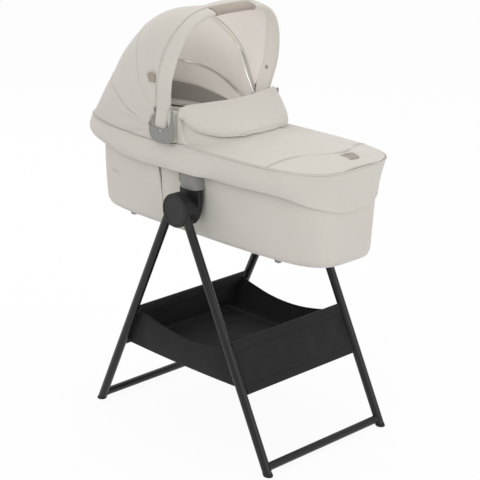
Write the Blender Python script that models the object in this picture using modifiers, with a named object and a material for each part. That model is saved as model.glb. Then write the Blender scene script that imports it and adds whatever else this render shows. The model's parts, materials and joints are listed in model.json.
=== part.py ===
"""Carrycot on its folding stand.

Metres, +Z up, +X from the head end to the foot end, -Y is the right side, and the floor is at z = 0.
The stand is two tube frames that turn on one another at the hubs, with a fabric basket between them.
The carrycot sits on an adapter at each hub: a tub, a padded rim, an apron with a wind flap, and a hood
on two wire ribs and a carrying bow. Pieces of the right side are made first, and the left side's pieces
are their mirror images.
"""

import math

import bmesh
import bpy
from mathutils import Matrix, Vector

# Overall places
RUNNING_GAP = 0.0003
HUB_HEIGHT = 0.590
COT_HEAD_REACH = 0.487
COT_FOOT_REACH = 0.402
RIM_BULGE = 0.005
RIM_HEAD_BULGE = 0.018
OVERSHOOT = 0.02
HUB_X = (COT_HEAD_REACH - COT_FOOT_REACH) / 2

# Stand frames
LEG_SPACING = 0.401
FOOT_REACH = 0.311
LEG_SETBACK = 0.0243
LEG_RADIUS = 0.011
TUBE_WALL = 0.0015
SPIGOT_DEPTH = 0.042
BAR_RADIUS = 0.010
BAR_HEIGHT = 0.018
FOOT_CAP_HEIGHT = 0.0075
FOOT_CAP_RADIUS = 0.0116
FOOT_PLUG_DEPTH = 0.028

# Hub
HUB_RADIUS = 0.042
HUB_PROUD = 0.012
HUB_FRONT_WALL = 0.0115
HUB_BACK_WALL = 0.0025
HUB_RIM_WALL = 0.0016
HUB_BEVEL = 0.003
KNUCKLE_THICKNESS = 0.0114
SHOULDER_END = 0.058
COVER_RADIUS = 0.035
COVER_DEPTH = 0.0026
COVER_DISH = 0.0007
BOLT_RADIUS = 0.005
BOLT_HEAD_RADIUS = 0.0087
BOLT_HEAD_HEIGHT = 0.0035
BOLT_THREAD_DEPTH = 0.016
BOLT_SOCKET_DEPTH = 0.0015
BOLT_CHAMFER = 0.0008

# Adapter and receiver
ADAPTER_HALF_WIDTH = 0.034
ADAPTER_DROP = 0.046
ADAPTER_WAIST = 0.020
ADAPTER_THICKNESS = 0.016
ADAPTER_BOSS_RADIUS = 0.030
TONGUE_HALF_WIDTH = 0.026
TONGUE_THICKNESS = 0.013
TONGUE_HEIGHT = 0.048
TONGUE_INSET = 0.0015
BEARING_GAP = 0.002
RECEIVER_FACE_WALL = 0.0097
RECEIVER_SEAT = 0.0455
RECEIVER_REACH = 0.1717
RECEIVER_HEIGHT = 0.0745
RECEIVER_FACE_HEIGHT = 0.042
RECEIVER_TOP_SET_BACK = 0.012
RECEIVER_ROUNDING = 0.004
BUTTON_LENGTH = 0.020
BUTTON_WIDTH = 0.013
BUTTON_PROUD = 0.0045
BUTTON_POCKET = 0.0055
BUTTON_SEATED = 0.0015
BUTTON_RISE = 0.020

# Basket
BASKET_ROD_RADIUS = 0.004
BASKET_TOP = 0.296
BASKET_BOTTOM = 0.176
BASKET_WIDTH = 0.360
BASKET_FABRIC = 0.0024
SLEEVE_WALL = 0.0016
BASKET_SAG = 0.030

# Rim
RIM_SEAM_ABOVE_HUB = 0.146
RIM_HEAD_DIP = 0.009
RIM_HALF_WIDTH = 0.164
RIM_TUBE_RADIUS = 0.006
RIM_FABRIC = 0.003
RIM_ROLL = 0.010
RIM_HEAD_SQUARENESS = 2.75
RIM_FOOT_SQUARENESS = 4.1
HEM_ABOVE_HUB = 0.089
HEM_HEAD_DIP = 0.009
HEM_FOOT_DIP = 0.033
SKIRT_FLARE = 0.018
SKIRT_TUCK = 0.004
SKIRT_PUSH = 0.0146
FOOT_TURN = 0.10
FOOT_TURN_RUN = 0.095

# Tub
TUB_DEPTH_BELOW_HUB = 0.089
TUB_WALL = 0.006
TUB_BASE_HEAD_INSET = 0.0734
TUB_BASE_FOOT_INSET = 0.0217
TUB_BASE_HALF_WIDTH = 0.1257
TUB_TOP_HEAD_INSET = 0.046
TUB_TOP_FOOT_INSET = 0.0165
TUB_TOP_HALF_WIDTH = 0.1500
TUB_BASE_SQUARENESS = 4.6
TUB_TOP_SQUARENESS = 2.8
TUB_FOOT_SQUARENESS = 4.0
TUB_EDGE_ROUNDING = 0.020
BOARD_THICKNESS = 0.004
MATTRESS_THICKNESS = 0.032
MATTRESS_CROWN = 0.006
LINING_CLEARANCE = 0.004
PAD_LENGTH = 0.016
PAD_WIDTH = 0.012
PAD_HEIGHT = 0.008
PAD_HEAD_X = 0.283
PAD_FOOT_X = 0.237
PAD_Y = 0.098

# Apron and wind flap
APRON_FABRIC = 0.003
APRON_CROWN = 0.020
APRON_HEAD_CROWN = 0.0865
APRON_HEAD_X = 0.000
APRON_HEAD_BOW = 0.038
APRON_RAMP = 0.105
APRON_RAMP_HALF_WIDTH = 0.152
FLAP_THICKNESS = 0.010
FLAP_LIFT = 0.0032
APRON_HEAD_SQUARENESS = 16
APRON_COLUMNS = 19

# Hood
HOOD_PIVOT_X = -0.085
HOOD_PIVOT_ABOVE_HUB = 0.175
HOOD_HALF_WIDTH = 0.187
HOOD_TUCK = 0.014
HOOD_TUCK_START = 0.035
HOOD_TUCK_RUN = 0.110
RIB_SQUARENESS = 3.1
BOW_SQUARENESS = 3.6
HOOD_FABRIC = 0.0024
BOW_ANGLE = -12.8
MIDDLE_RIB_ANGLE = 30.0
REAR_RIB_ANGLE = 69.0
BOW_REACH = 0.295
MIDDLE_RIB_REACH = 0.279
REAR_RIB_REACH = 0.284
FRONT_PANEL_SWELL = 0.006
FRONT_PANEL_CORNER = 0.018
MIDDLE_PANEL_SWELL = 0.010
REAR_PANEL_SWELL = 0.002
MIDDLE_DROOP = 5.0
REAR_DROOP = 13.0
DROOP_RISE = 0.200
PANEL_PARTING = 0.0009
PANEL_SPREAD = 80.5
HEM_SPREAD = 76.0
BOW_WIDTH = 0.048
BOW_TOP_WIDTH = 0.034
BOW_END_WIDTH = 0.042
BOW_THICKNESS = 0.014
BOW_SET_BACK = 0.0095
BOW_SECTION_SQUARENESS = 3.4
RIB_RADIUS = 0.0018
RIB_INBOARD_RISE = 0.090
GRIP_HALF_ANGLE = 19.0
GRIP_WALL = 0.0022
BOW_BUTTON_RADIUS = 0.0055
BOW_BUTTON_RISE = 0.110
BOW_BUTTON_PROUD = 0.002
BOW_BUTTON_TRAVEL = 0.0022
BOW_BUTTON_DEPTH = 0.004
HOOD_PIN_RADIUS = 0.004
HOOD_PIN_HEAD = 0.003
PIN_SHY = 0.001
HOOD_EYE_RADIUS = 0.012
HOOD_EYE_THICKNESS = 0.0038
HOOD_JOINT_RADIUS = 0.024
HOOD_JOINT_GAP = 0.0021
HOOD_JOINT_WALL = 0.004
HOOD_JOINT_SEAT = 0.012
HOOD_JOINT_FOOT = 0.020

# Finish of each kind of piece: colour, roughness, metallic
FINISHES = {
    "tube": ((0.035, 0.036, 0.038), 0.42, 0.5),
    "black plastic": ((0.030, 0.030, 0.031), 0.50, 0.0),
    "steel": ((0.45, 0.45, 0.46), 0.35, 0.9),
    "black fabric": ((0.028, 0.028, 0.030), 0.90, 0.0),
    "cream fabric": ((0.60, 0.55, 0.49), 0.90, 0.0),
    "grey plastic": ((0.25, 0.25, 0.24), 0.55, 0.0),
    "leatherette": ((0.46, 0.39, 0.32), 0.60, 0.0),
    "rubber": ((0.05, 0.05, 0.05), 0.85, 0.0),
    "board": ((0.45, 0.42, 0.38), 0.80, 0.0),
}

# Values worked out from the sizes above
RIM_SEAM_HEIGHT = HUB_HEIGHT + RIM_SEAM_ABOVE_HUB
HEM_HEIGHT = HUB_HEIGHT + HEM_ABOVE_HUB
TUB_BOTTOM = HUB_HEIGHT - TUB_DEPTH_BELOW_HUB
TUB_BASE_HEAD = COT_HEAD_REACH - TUB_BASE_HEAD_INSET
TUB_BASE_FOOT = COT_FOOT_REACH - TUB_BASE_FOOT_INSET
TUB_TOP_HEAD = COT_HEAD_REACH - TUB_TOP_HEAD_INSET
TUB_TOP_FOOT = COT_FOOT_REACH - TUB_TOP_FOOT_INSET
LEG_TILT = math.atan2(FOOT_REACH - LEG_SETBACK, HUB_HEIGHT)
LEG_OFFSET = LEG_SETBACK * math.cos(LEG_TILT)
LEG_Y = -LEG_SPACING / 2
FOOT_RUN = (HUB_HEIGHT + LEG_OFFSET * math.sin(LEG_TILT)) / math.cos(LEG_TILT)
SPIGOT_RADIUS = LEG_RADIUS - TUBE_WALL - RUNNING_GAP
HUB_FACE_Y = LEG_Y - HUB_PROUD
HUB_DEPTH = HUB_FRONT_WALL + KNUCKLE_THICKNESS + HUB_BACK_WALL + 2 * RUNNING_GAP
RECEIVER_OUTER_Y = -RECEIVER_REACH
RECEIVER_BOTTOM = HUB_HEIGHT + RECEIVER_SEAT + RUNNING_GAP
TONGUE_Y = -(RECEIVER_REACH - RECEIVER_FACE_WALL - TONGUE_THICKNESS / 2)
ADAPTER_INNER_Y = TONGUE_Y + TONGUE_THICKNESS / 2 + TONGUE_INSET
ADAPTER_OUTER_Y = ADAPTER_INNER_Y - ADAPTER_THICKNESS
HUB_BACK_Y = HUB_FACE_Y + HUB_DEPTH
TUB_TOP = RIM_SEAM_HEIGHT - RIM_FABRIC - RIM_HEAD_DIP / 2 - 3 * RUNNING_GAP
TUB_FLOOR = TUB_BOTTOM + TUB_WALL
HOOD_BASE_Y = -(HOOD_HALF_WIDTH - HOOD_TUCK)
BOW_EYE_Y = HOOD_BASE_Y + BOW_THICKNESS / 2
MIDDLE_EYE_Y = HOOD_BASE_Y + BOW_THICKNESS + RUNNING_GAP + HOOD_EYE_THICKNESS / 2
REAR_EYE_Y = MIDDLE_EYE_Y + HOOD_EYE_THICKNESS + RUNNING_GAP
HOOD_PIVOT = Vector((HUB_X + HOOD_PIVOT_X, 0, HUB_HEIGHT + HOOD_PIVOT_ABOVE_HUB))
HUB_AXIS = Vector((HUB_X, 0, HUB_HEIGHT))
FRONT, REAR = 1, -1
RING_POINTS = 52
CORNER_CROWDING = 0.4

parts = bpy.data.collections.new("carrycot_stand")
helpers = bpy.data.collections.new("cutters_and_guides")


# Scene and objects


def clear_scene():
    for thing in list(bpy.data.objects):
        bpy.data.objects.remove(thing, do_unlink=True)
    bpy.context.scene.collection.children.link(parts)
    bpy.context.scene.collection.children.link(helpers)


def finish_material(name, finish):
    colour, roughness, metallic = FINISHES[finish]
    material = bpy.data.materials.new(name)
    material.use_nodes = True
    shader = material.node_tree.nodes["Principled BSDF"]
    shader.inputs["Base Color"].default_value = (*colour, 1)
    shader.inputs["Roughness"].default_value = roughness
    shader.inputs["Metallic"].default_value = metallic
    material.diffuse_color = (*colour, 1)
    return material


def add(name, data, finish=None):
    """A part with its finish, or with no finish a hidden cutter or guide."""
    thing = bpy.data.objects.new(name, data)
    (parts if finish else helpers).objects.link(thing)
    if finish:
        data.materials.append(finish_material(name, finish))
    else:
        thing.hide_render = True
        thing.display_type = "WIRE"
    return thing


def evaluated_mesh(thing):
    bpy.context.view_layer.update()
    graph = bpy.context.evaluated_depsgraph_get()
    return bpy.data.meshes.new_from_object(thing.evaluated_get(graph), depsgraph=graph)


def as_mesh(curve):
    """Swap a curve object for a mesh object with welded caps, at the same place."""
    mesh = evaluated_mesh(curve)
    net = bmesh.new()
    net.from_mesh(mesh)
    bmesh.ops.remove_doubles(net, verts=net.verts, dist=1e-6)
    net.to_mesh(mesh)
    net.free()
    name, home, place = curve.name, curve.users_collection[0], curve.matrix_world.copy()
    bpy.data.objects.remove(curve, do_unlink=True)
    thing = bpy.data.objects.new(name, mesh)
    home.objects.link(thing)
    thing.matrix_world = place
    if home == helpers:
        thing.hide_render = True
        thing.display_type = "WIRE"
    return thing


def as_part(thing, finish):
    """Move a converted guide into the parts, with its finish."""
    helpers.objects.unlink(thing)
    parts.objects.link(thing)
    thing.hide_render = False
    thing.display_type = "TEXTURED"
    thing.data.materials.append(finish_material(thing.name, finish))
    return thing


def boolean(thing, other, operation):
    step = thing.modifiers.new(operation.title(), "BOOLEAN")
    step.operation = operation
    step.solver = "EXACT"
    step.object = other


def cut(thing, *others):
    for other in others:
        boolean(thing, other, "DIFFERENCE")


def join(thing, *others):
    for other in others:
        boolean(thing, other, "UNION")


def bevel(thing, width, segments=2, angle=40):
    step = thing.modifiers.new("Bevel", "BEVEL")
    step.width = width
    step.segments = segments
    step.limit_method = "ANGLE"
    step.angle_limit = math.radians(angle)


def smooth(thing, angle=40):
    thing.data.shade_smooth()
    thing.data.set_sharp_from_angle(angle=math.radians(angle))


def hang_on(axis, *things):
    """Parent the pieces to the empty on their joint's axis, and leave them where they are."""
    bpy.context.view_layer.update()
    for thing in things:
        thing.parent = axis
        thing.matrix_parent_inverse = axis.matrix_world.inverted()


def joint_axis(name, place):
    axis = bpy.data.objects.new(name, None)
    helpers.objects.link(axis)
    axis.location = place
    axis.empty_display_size = 0.03
    return axis


def left_twin(thing):
    """The mirror image of a right-hand piece, on the left."""
    mesh = evaluated_mesh(thing)
    mesh.transform(Matrix.Diagonal((1, -1, 1, 1)) @ thing.matrix_world)
    mesh.flip_normals()
    twin = bpy.data.objects.new(thing.name.replace("right", "left"), mesh)
    parts.objects.link(twin)
    mesh.materials.clear()
    mesh.materials.append(thing.active_material.copy())
    return twin


# Shapes


def outboard(y, x=HUB_X, z=HUB_HEIGHT):
    """Place a right-hand piece that is drawn in X and Z, with its own Z pointing out to the side."""
    return Matrix.Translation((x, y, z)) @ Matrix.Rotation(math.pi / 2, 4, "X")


def along(start, end):
    """Place a piece whose own Z runs from start to end."""
    run = Vector(end) - Vector(start)
    return Matrix.Translation(start) @ run.to_track_quat("Z", "Y").to_matrix().to_4x4()


def block(name, low, high, finish=None):
    net = bmesh.new()
    bmesh.ops.create_cube(net, size=1)
    size = [b - a for a, b in zip(low, high)]
    middle = [(a + b) / 2 for a, b in zip(low, high)]
    bmesh.ops.scale(net, vec=size, verts=net.verts)
    mesh = bpy.data.meshes.new(name)
    net.to_mesh(mesh)
    net.free()
    thing = add(name, mesh, finish)
    thing.location = middle
    return thing


def rod(name, start, end, radius, finish=None, sides=20):
    """A round solid bar from start to end."""
    length = (Vector(end) - Vector(start)).length
    net = bmesh.new()
    bmesh.ops.create_cone(net, cap_ends=True, segments=sides, radius1=radius, radius2=radius, depth=length)
    bmesh.ops.translate(net, vec=(0, 0, length / 2), verts=net.verts)
    mesh = bpy.data.meshes.new(name)
    net.to_mesh(mesh)
    net.free()
    thing = add(name, mesh, finish)
    thing.matrix_world = along(start, end)
    return thing


def turned(name, profile, place, finish=None, steps=32):
    """A turned piece: the profile's (radius, height) points run down its outer side and back up inside."""
    mesh = bpy.data.meshes.new(name)
    points = [(radius, 0, height) for radius, height in profile]
    whole = all(radius > 0 for radius, _ in profile)
    edges = [(i, i + 1) for i in range(len(points) - 1)] + ([(len(points) - 1, 0)] if whole else [])
    mesh.from_pydata(points, edges, [])
    thing = add(name, mesh, finish)
    thing.matrix_world = place
    step = thing.modifiers.new("Screw", "SCREW")
    step.axis = "Z"
    step.steps = step.render_steps = steps
    step.use_merge_vertices = True
    step.merge_threshold = 1e-5
    return thing


def hollow_tube(name, start, end, radius, finish, sides=20):
    length = (Vector(end) - Vector(start)).length
    bore = radius - TUBE_WALL
    profile = [(radius, length), (radius, 0), (bore, 0), (bore, length)]
    return turned(name, profile, along(start, end), finish, sides)


def plate(name, outlines, thickness, place, finish=None):
    """A flat piece from closed outlines, the first outside and the others holes, centred on the place."""
    curve = bpy.data.curves.new(name, "CURVE")
    curve.dimensions = "2D"
    curve.fill_mode = "BOTH"
    curve.extrude = thickness / 2
    for outline in outlines:
        spline = curve.splines.new("POLY")
        spline.points.add(len(outline) - 1)
        for point, (x, y) in zip(spline.points, outline):
            point.co = (x, y, 0, 1)
        spline.use_cyclic_u = True
    thing = add(name, curve)
    thing.matrix_world = place
    thing = as_mesh(thing)
    return as_part(thing, finish) if finish else thing


def arc(centre, radius, start, end, count):
    """Points on an arc, with its angles in degrees."""
    angles = [math.radians(start + (end - start) * i / (count - 1)) for i in range(count)]
    return [(centre[0] + radius * math.cos(a), centre[1] + radius * math.sin(a)) for a in angles]


def skin(name, rows, closed, finish, caps=False):
    """A surface through rows of points; a closed row joins its last point to its first."""
    net = bmesh.new()
    lines = [[net.verts.new(point) for point in row] for row in rows]
    count = len(lines[0])
    for low, high in zip(lines, lines[1:]):
        for i in range(count if closed else count - 1):
            j = (i + 1) % count
            net.faces.new((low[i], low[j], high[j], high[i]))
    if caps:
        net.faces.new(list(reversed(lines[0])))
        net.faces.new(lines[-1])
    mesh = bpy.data.meshes.new(name)
    net.to_mesh(mesh)
    net.free()
    thing = add(name, mesh, finish)
    smooth(thing, 50)
    return thing


def thicken(thing, thickness, offset=-1):
    step = thing.modifiers.new("Solidify", "SOLIDIFY")
    step.thickness = thickness
    step.offset = offset
    step.use_even_offset = True


def mix(a, b, share):
    return a + (b - a) * share


def ease(share):
    share = min(max(share, 0), 1)
    return share * share * (3 - 2 * share)


def rounded_radius(angle, squareness):
    """Radius of a unit rounded square at an angle: 2 gives a circle, more gives squarer corners."""
    return (abs(math.cos(angle)) ** squareness + abs(math.sin(angle)) ** squareness) ** (-1 / squareness)


# Plan outlines of the carrycot, point by point round from the foot tip


def plan(head, foot, half_width, head_squareness, foot_squareness, height, count=RING_POINTS):
    ring = []
    for i in range(count):
        even = 2 * math.pi * i / count
        angle = even + CORNER_CROWDING * math.sin(4 * even) / 4
        behind = math.cos(angle) < 0
        radius = rounded_radius(angle, head_squareness if behind else foot_squareness)
        reach = head if behind else foot
        ring.append(
            Vector((HUB_X + reach * radius * math.cos(angle), half_width * radius * math.sin(angle), height))
        )
    return ring


def outset(ring, distance, height=None):
    """The ring moved outwards in plan by a distance, or by one distance for each point."""
    moved = []
    for i, point in enumerate(ring):
        tangent = ring[(i + 1) % len(ring)] - ring[i - 1]
        outward = Vector((tangent.y, -tangent.x, 0)).normalized()
        step = distance[i] if isinstance(distance, list) else distance
        place = point + outward * step
        place.z = point.z if height is None else height[i] if isinstance(height, list) else height
        moved.append(place)
    return moved


def tub_ring(height):
    """The tub's outer wall at a height: it widens upwards, fast at first and slower towards the rim."""
    share = min(max((height - TUB_BOTTOM) / (TUB_TOP - TUB_BOTTOM), 0), 1) ** 0.8
    return plan(
        mix(TUB_BASE_HEAD, TUB_TOP_HEAD, share),
        mix(TUB_BASE_FOOT, TUB_TOP_FOOT, share),
        mix(TUB_BASE_HALF_WIDTH, TUB_TOP_HALF_WIDTH, share),
        mix(TUB_BASE_SQUARENESS, TUB_TOP_SQUARENESS, share),
        TUB_FOOT_SQUARENESS,
        height,
    )


def wall_heights():
    """Heights of the rings of the tub's straight wall."""
    return [mix(TUB_BOTTOM + TUB_EDGE_ROUNDING, TUB_TOP, i / 3) for i in range(4)]


def seam_ring():
    """The rim's outer seam: level from the hood's joints to the foot, and a little lower round the head."""
    ring = plan(
        COT_HEAD_REACH,
        COT_FOOT_REACH,
        RIM_HALF_WIDTH,
        RIM_HEAD_SQUARENESS,
        RIM_FOOT_SQUARENESS,
        RIM_SEAM_HEIGHT,
    )
    for point in ring:
        point.z -= head_dip(point, RIM_HEAD_DIP)
    return ring


def head_dip(point, depth):
    return depth * ease((HUB_X - 0.02 - point.x) / 0.08)


# Stand


def leg_point(end, run, y=LEG_Y):
    """A point on a leg's centre line, at a run down the leg from where it is nearest to the fold axis."""
    return Vector(
        (
            HUB_X + end * (LEG_OFFSET * math.cos(LEG_TILT) + run * math.sin(LEG_TILT)),
            y,
            HUB_HEIGHT + LEG_OFFSET * math.sin(LEG_TILT) - run * math.cos(LEG_TILT),
        )
    )


def leg_at_height(end, height, y=LEG_Y):
    run = (HUB_HEIGHT + LEG_OFFSET * math.sin(LEG_TILT) - height) / math.cos(LEG_TILT)
    return leg_point(end, run, y)


def make_leg(name, end, top_run):
    """A leg's tube, cut level above its foot cap."""
    reach = 2 * OVERSHOOT
    below_floor = leg_point(end, FOOT_RUN + OVERSHOOT)
    leg = hollow_tube(name, below_floor, leg_point(end, top_run), LEG_RADIUS, "tube")
    foot = leg_at_height(end, 0)
    below = block(
        name + "_floor_cut",
        (foot.x - reach, LEG_Y - reach, -reach),
        (foot.x + reach, LEG_Y + reach, FOOT_CAP_HEIGHT + RUNNING_GAP),
    )
    cut(leg, below)
    return leg


def make_foot_cap(name, end):
    """A rubber-tipped plug: its pad is cut level with the floor and its plug goes up the tube."""
    above = leg_at_height(end, FOOT_CAP_HEIGHT + OVERSHOOT)
    pad = rod(name, leg_at_height(end, -OVERSHOOT), above, FOOT_CAP_RADIUS, "black plastic")
    foot = leg_at_height(end, 0)
    reach = 2 * OVERSHOOT
    slab = block(
        name + "_slab", (foot.x - reach, LEG_Y - reach, 0), (foot.x + reach, LEG_Y + reach, FOOT_CAP_HEIGHT)
    )
    boolean(pad, slab, "INTERSECT")
    bevel(pad, 0.0012, segments=1)
    plug = rod(
        name + "_plug",
        leg_at_height(end, FOOT_CAP_HEIGHT / 2),
        leg_at_height(end, FOOT_CAP_HEIGHT + FOOT_PLUG_DEPTH),
        SPIGOT_RADIUS,
    )
    join(pad, plug)
    return pad


def make_floor_bar(name, end):
    middle = leg_at_height(end, BAR_HEIGHT, 0)
    reach = Vector((0, -LEG_Y, 0))
    bar = hollow_tube(name, middle - reach, middle + reach, BAR_RADIUS, "tube")
    for side in (-1, 1):
        y = side * LEG_Y
        saddle = rod(
            f"{name}_saddle_{side + 1}",
            leg_at_height(end, -2 * OVERSHOOT, y),
            leg_at_height(end, BAR_HEIGHT + 3 * OVERSHOOT, y),
            LEG_RADIUS + RUNNING_GAP,
        )
        cut(bar, saddle)
    return bar


def hub_profile(top, bottom, outer, inner, chamfer=0.0):
    return [(outer - chamfer, top), (outer, top - chamfer), (outer, bottom), (inner, bottom), (inner, top)]


def make_hub_housing():
    """The fixed half of the fold: a drum with a spigot for the rear leg, open below for the front leg."""
    bore = BOLT_RADIUS + RUNNING_GAP
    recess = COVER_RADIUS + RUNNING_GAP
    head = BOLT_HEAD_RADIUS + RUNNING_GAP
    head_seat = COVER_DEPTH + BOLT_HEAD_HEIGHT + RUNNING_GAP
    profile = [
        (HUB_RADIUS - HUB_BEVEL, 0),
        (HUB_RADIUS - HUB_BEVEL * 0.3, -HUB_BEVEL * 0.3),
        (HUB_RADIUS, -HUB_BEVEL),
        (HUB_RADIUS, -HUB_DEPTH),
        (bore, -HUB_DEPTH),
        (bore, -head_seat),
        (head, -head_seat),
        (head, -COVER_DEPTH),
        (recess, -COVER_DEPTH),
        (recess, 0),
    ]
    housing = turned("hub_housing_right", profile, outboard(HUB_FACE_Y), "black plastic", 32)
    spigot_top = leg_point(REAR, HUB_RADIUS - OVERSHOOT / 2)
    spigot = rod("rear_spigot", spigot_top, leg_point(REAR, HUB_RADIUS + SPIGOT_DEPTH), SPIGOT_RADIUS)
    cavity_top = HUB_FACE_Y + HUB_FRONT_WALL
    cavity_end = HUB_FACE_Y + HUB_DEPTH - HUB_BACK_WALL
    cavity = rod(
        "hub_cavity",
        (HUB_X, cavity_end, HUB_HEIGHT),
        (HUB_X, cavity_top, HUB_HEIGHT),
        HUB_RADIUS - HUB_RIM_WALL,
        sides=32,
    )
    wedge = [(0, 0)] + arc((0, 0), HUB_RADIUS * 1.6, -107, -3, 5)
    sector = plate(
        "hub_sector", [wedge], cavity_end - cavity_top, outboard((cavity_end + cavity_top) / 2)
    )
    join(housing, spigot)
    cut(housing, cavity, sector)
    return housing


def make_hub_cover():
    edge = COVER_DEPTH - RUNNING_GAP
    profile = [
        (0, -COVER_DISH),
        (COVER_RADIUS * 0.85, -COVER_DISH * 0.4),
        (COVER_RADIUS * 0.96, 0),
        (COVER_RADIUS, -COVER_DISH),
        (COVER_RADIUS, -edge),
        (0, -edge),
    ]
    return turned("hub_cover_right", profile, outboard(HUB_FACE_Y), "black plastic", 32)


def make_fold_bolt():
    head_top = -(COVER_DEPTH + RUNNING_GAP)
    head_bottom = head_top - BOLT_HEAD_HEIGHT + RUNNING_GAP
    tip = -(HUB_DEPTH + BOLT_THREAD_DEPTH)
    profile = [
        (0, head_top - BOLT_SOCKET_DEPTH),
        (BOLT_HEAD_RADIUS * 0.45, head_top - BOLT_SOCKET_DEPTH),
        (BOLT_HEAD_RADIUS * 0.45, head_top),
        (BOLT_HEAD_RADIUS - BOLT_CHAMFER, head_top),
        (BOLT_HEAD_RADIUS, head_top - BOLT_CHAMFER),
        (BOLT_HEAD_RADIUS, head_bottom),
        (BOLT_RADIUS, head_bottom),
        (BOLT_RADIUS, tip + BOLT_CHAMFER),
        (BOLT_RADIUS - BOLT_CHAMFER, tip),
        (0, tip),
    ]
    return turned("fold_bolt_right", profile, outboard(HUB_FACE_Y), "steel", 16)


def make_knuckle():
    """The turning half of the fold: a disc inside the drum that carries the front leg's shoulder."""
    top = -(HUB_FRONT_WALL + RUNNING_GAP)
    bore = BOLT_RADIUS + RUNNING_GAP
    radius = HUB_RADIUS - HUB_RIM_WALL - RUNNING_GAP
    knuckle = turned(
        "leg_knuckle_right",
        hub_profile(top, top - KNUCKLE_THICKNESS, radius, bore),
        outboard(HUB_FACE_Y),
        "black plastic",
        32,
    )
    shoulder = rod("front_shoulder", leg_point(FRONT, 0.012), leg_point(FRONT, SHOULDER_END), LEG_RADIUS)
    face = HUB_FACE_Y + HUB_FRONT_WALL + RUNNING_GAP
    clear_of_drum = rod(
        "drum_clearance",
        (HUB_X, face, HUB_HEIGHT),
        (HUB_X, face - 2 * OVERSHOOT, HUB_HEIGHT),
        HUB_RADIUS + 2 * RUNNING_GAP,
        sides=32,
    )
    cut(shoulder, clear_of_drum)
    spigot_top = leg_point(FRONT, SHOULDER_END - OVERSHOOT / 2)
    spigot = rod("front_spigot", spigot_top, leg_point(FRONT, SHOULDER_END + SPIGOT_DEPTH), SPIGOT_RADIUS)
    join(knuckle, shoulder, spigot)
    return knuckle


def make_adapter():
    """The upright shield on the inner side of the hub, with the tongue that the carrycot drops on to."""
    waist = ADAPTER_WAIST
    drop = ADAPTER_DROP + waist
    lower = []
    for i in range(13):
        angle = math.pi * i / 12
        radius = rounded_radius(angle, 1.7)
        across, down = radius * math.cos(angle), radius * math.sin(angle)
        lower.append((ADAPTER_HALF_WIDTH * across, waist - drop * down))
    shield = [(ADAPTER_HALF_WIDTH, RECEIVER_SEAT)] + lower + [(-ADAPTER_HALF_WIDTH, RECEIVER_SEAT)]
    adapter = plate(
        "adapter_right",
        [list(reversed(shield))],
        ADAPTER_THICKNESS,
        outboard((ADAPTER_INNER_Y + ADAPTER_OUTER_Y) / 2),
        "black plastic",
    )
    bevel(adapter, 0.002, segments=2, angle=50)
    seat = HUB_HEIGHT + RECEIVER_SEAT
    tongue = block(
        "adapter_tongue",
        (HUB_X - TONGUE_HALF_WIDTH, TONGUE_Y - TONGUE_THICKNESS / 2, seat - OVERSHOOT / 2),
        (HUB_X + TONGUE_HALF_WIDTH, TONGUE_Y + TONGUE_THICKNESS / 2, seat + TONGUE_HEIGHT),
    )
    bevel(tongue, 0.003, segments=2)
    boss_back = ADAPTER_OUTER_Y + ADAPTER_THICKNESS / 2
    boss = rod(
        "adapter_boss",
        (HUB_X, boss_back, HUB_HEIGHT),
        (HUB_X, HUB_BACK_Y + RUNNING_GAP, HUB_HEIGHT),
        ADAPTER_BOSS_RADIUS,
        sides=40,
    )
    bolt_hole = rod(
        "adapter_bolt_hole",
        (HUB_X, HUB_BACK_Y + BOLT_THREAD_DEPTH + 2 * RUNNING_GAP, HUB_HEIGHT),
        (HUB_X, HUB_BACK_Y - OVERSHOOT / 2, HUB_HEIGHT),
        BOLT_RADIUS + RUNNING_GAP,
    )
    join(adapter, boss, tongue)
    cut(adapter, bolt_hole)
    return adapter


# Basket


def basket_rod_place(end, height):
    return leg_at_height(end, height, 0)


def basket_heights():
    sleeve = BASKET_ROD_RADIUS + RUNNING_GAP + SLEEVE_WALL
    return BASKET_BOTTOM + sleeve, BASKET_TOP - sleeve


def make_basket_rod(name, end, height):
    middle = basket_rod_place(end, height)
    reach = Vector((0, -LEG_Y - LEG_RADIUS - RUNNING_GAP, 0))
    return rod(name, middle - reach, middle + reach, BASKET_ROD_RADIUS, "tube", 16)


def make_basket_end(name, end):
    """A fabric panel with a sleeve round each of its two rods, drawn in its own cross-section."""
    low, high = (basket_rod_place(end, height) for height in basket_heights())
    length = (high - low).length
    bore = BASKET_ROD_RADIUS + RUNNING_GAP
    sleeve = bore + SLEEVE_WALL
    half = BASKET_FABRIC / 2
    reach = math.degrees(math.asin(half / sleeve))
    outline = arc((0, 0), sleeve, reach, 360 - reach, 15)
    outline += arc((length, 0), sleeve, 180 + reach, 540 - reach, 15)
    holes = [arc((x, 0), bore, 0, 360 - 360 / 14, 14) for x in (0, length)]
    run = (high - low).normalized()
    across = Vector((0, 1, 0))
    face = run.cross(across)
    place = Matrix((run, face, -across)).transposed().to_4x4()
    place.translation = low
    if place.determinant() < 0:
        place = place @ Matrix.Diagonal((1, -1, 1, 1))
    return plate(name, [outline] + holes, BASKET_WIDTH, place, "black fabric")


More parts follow.
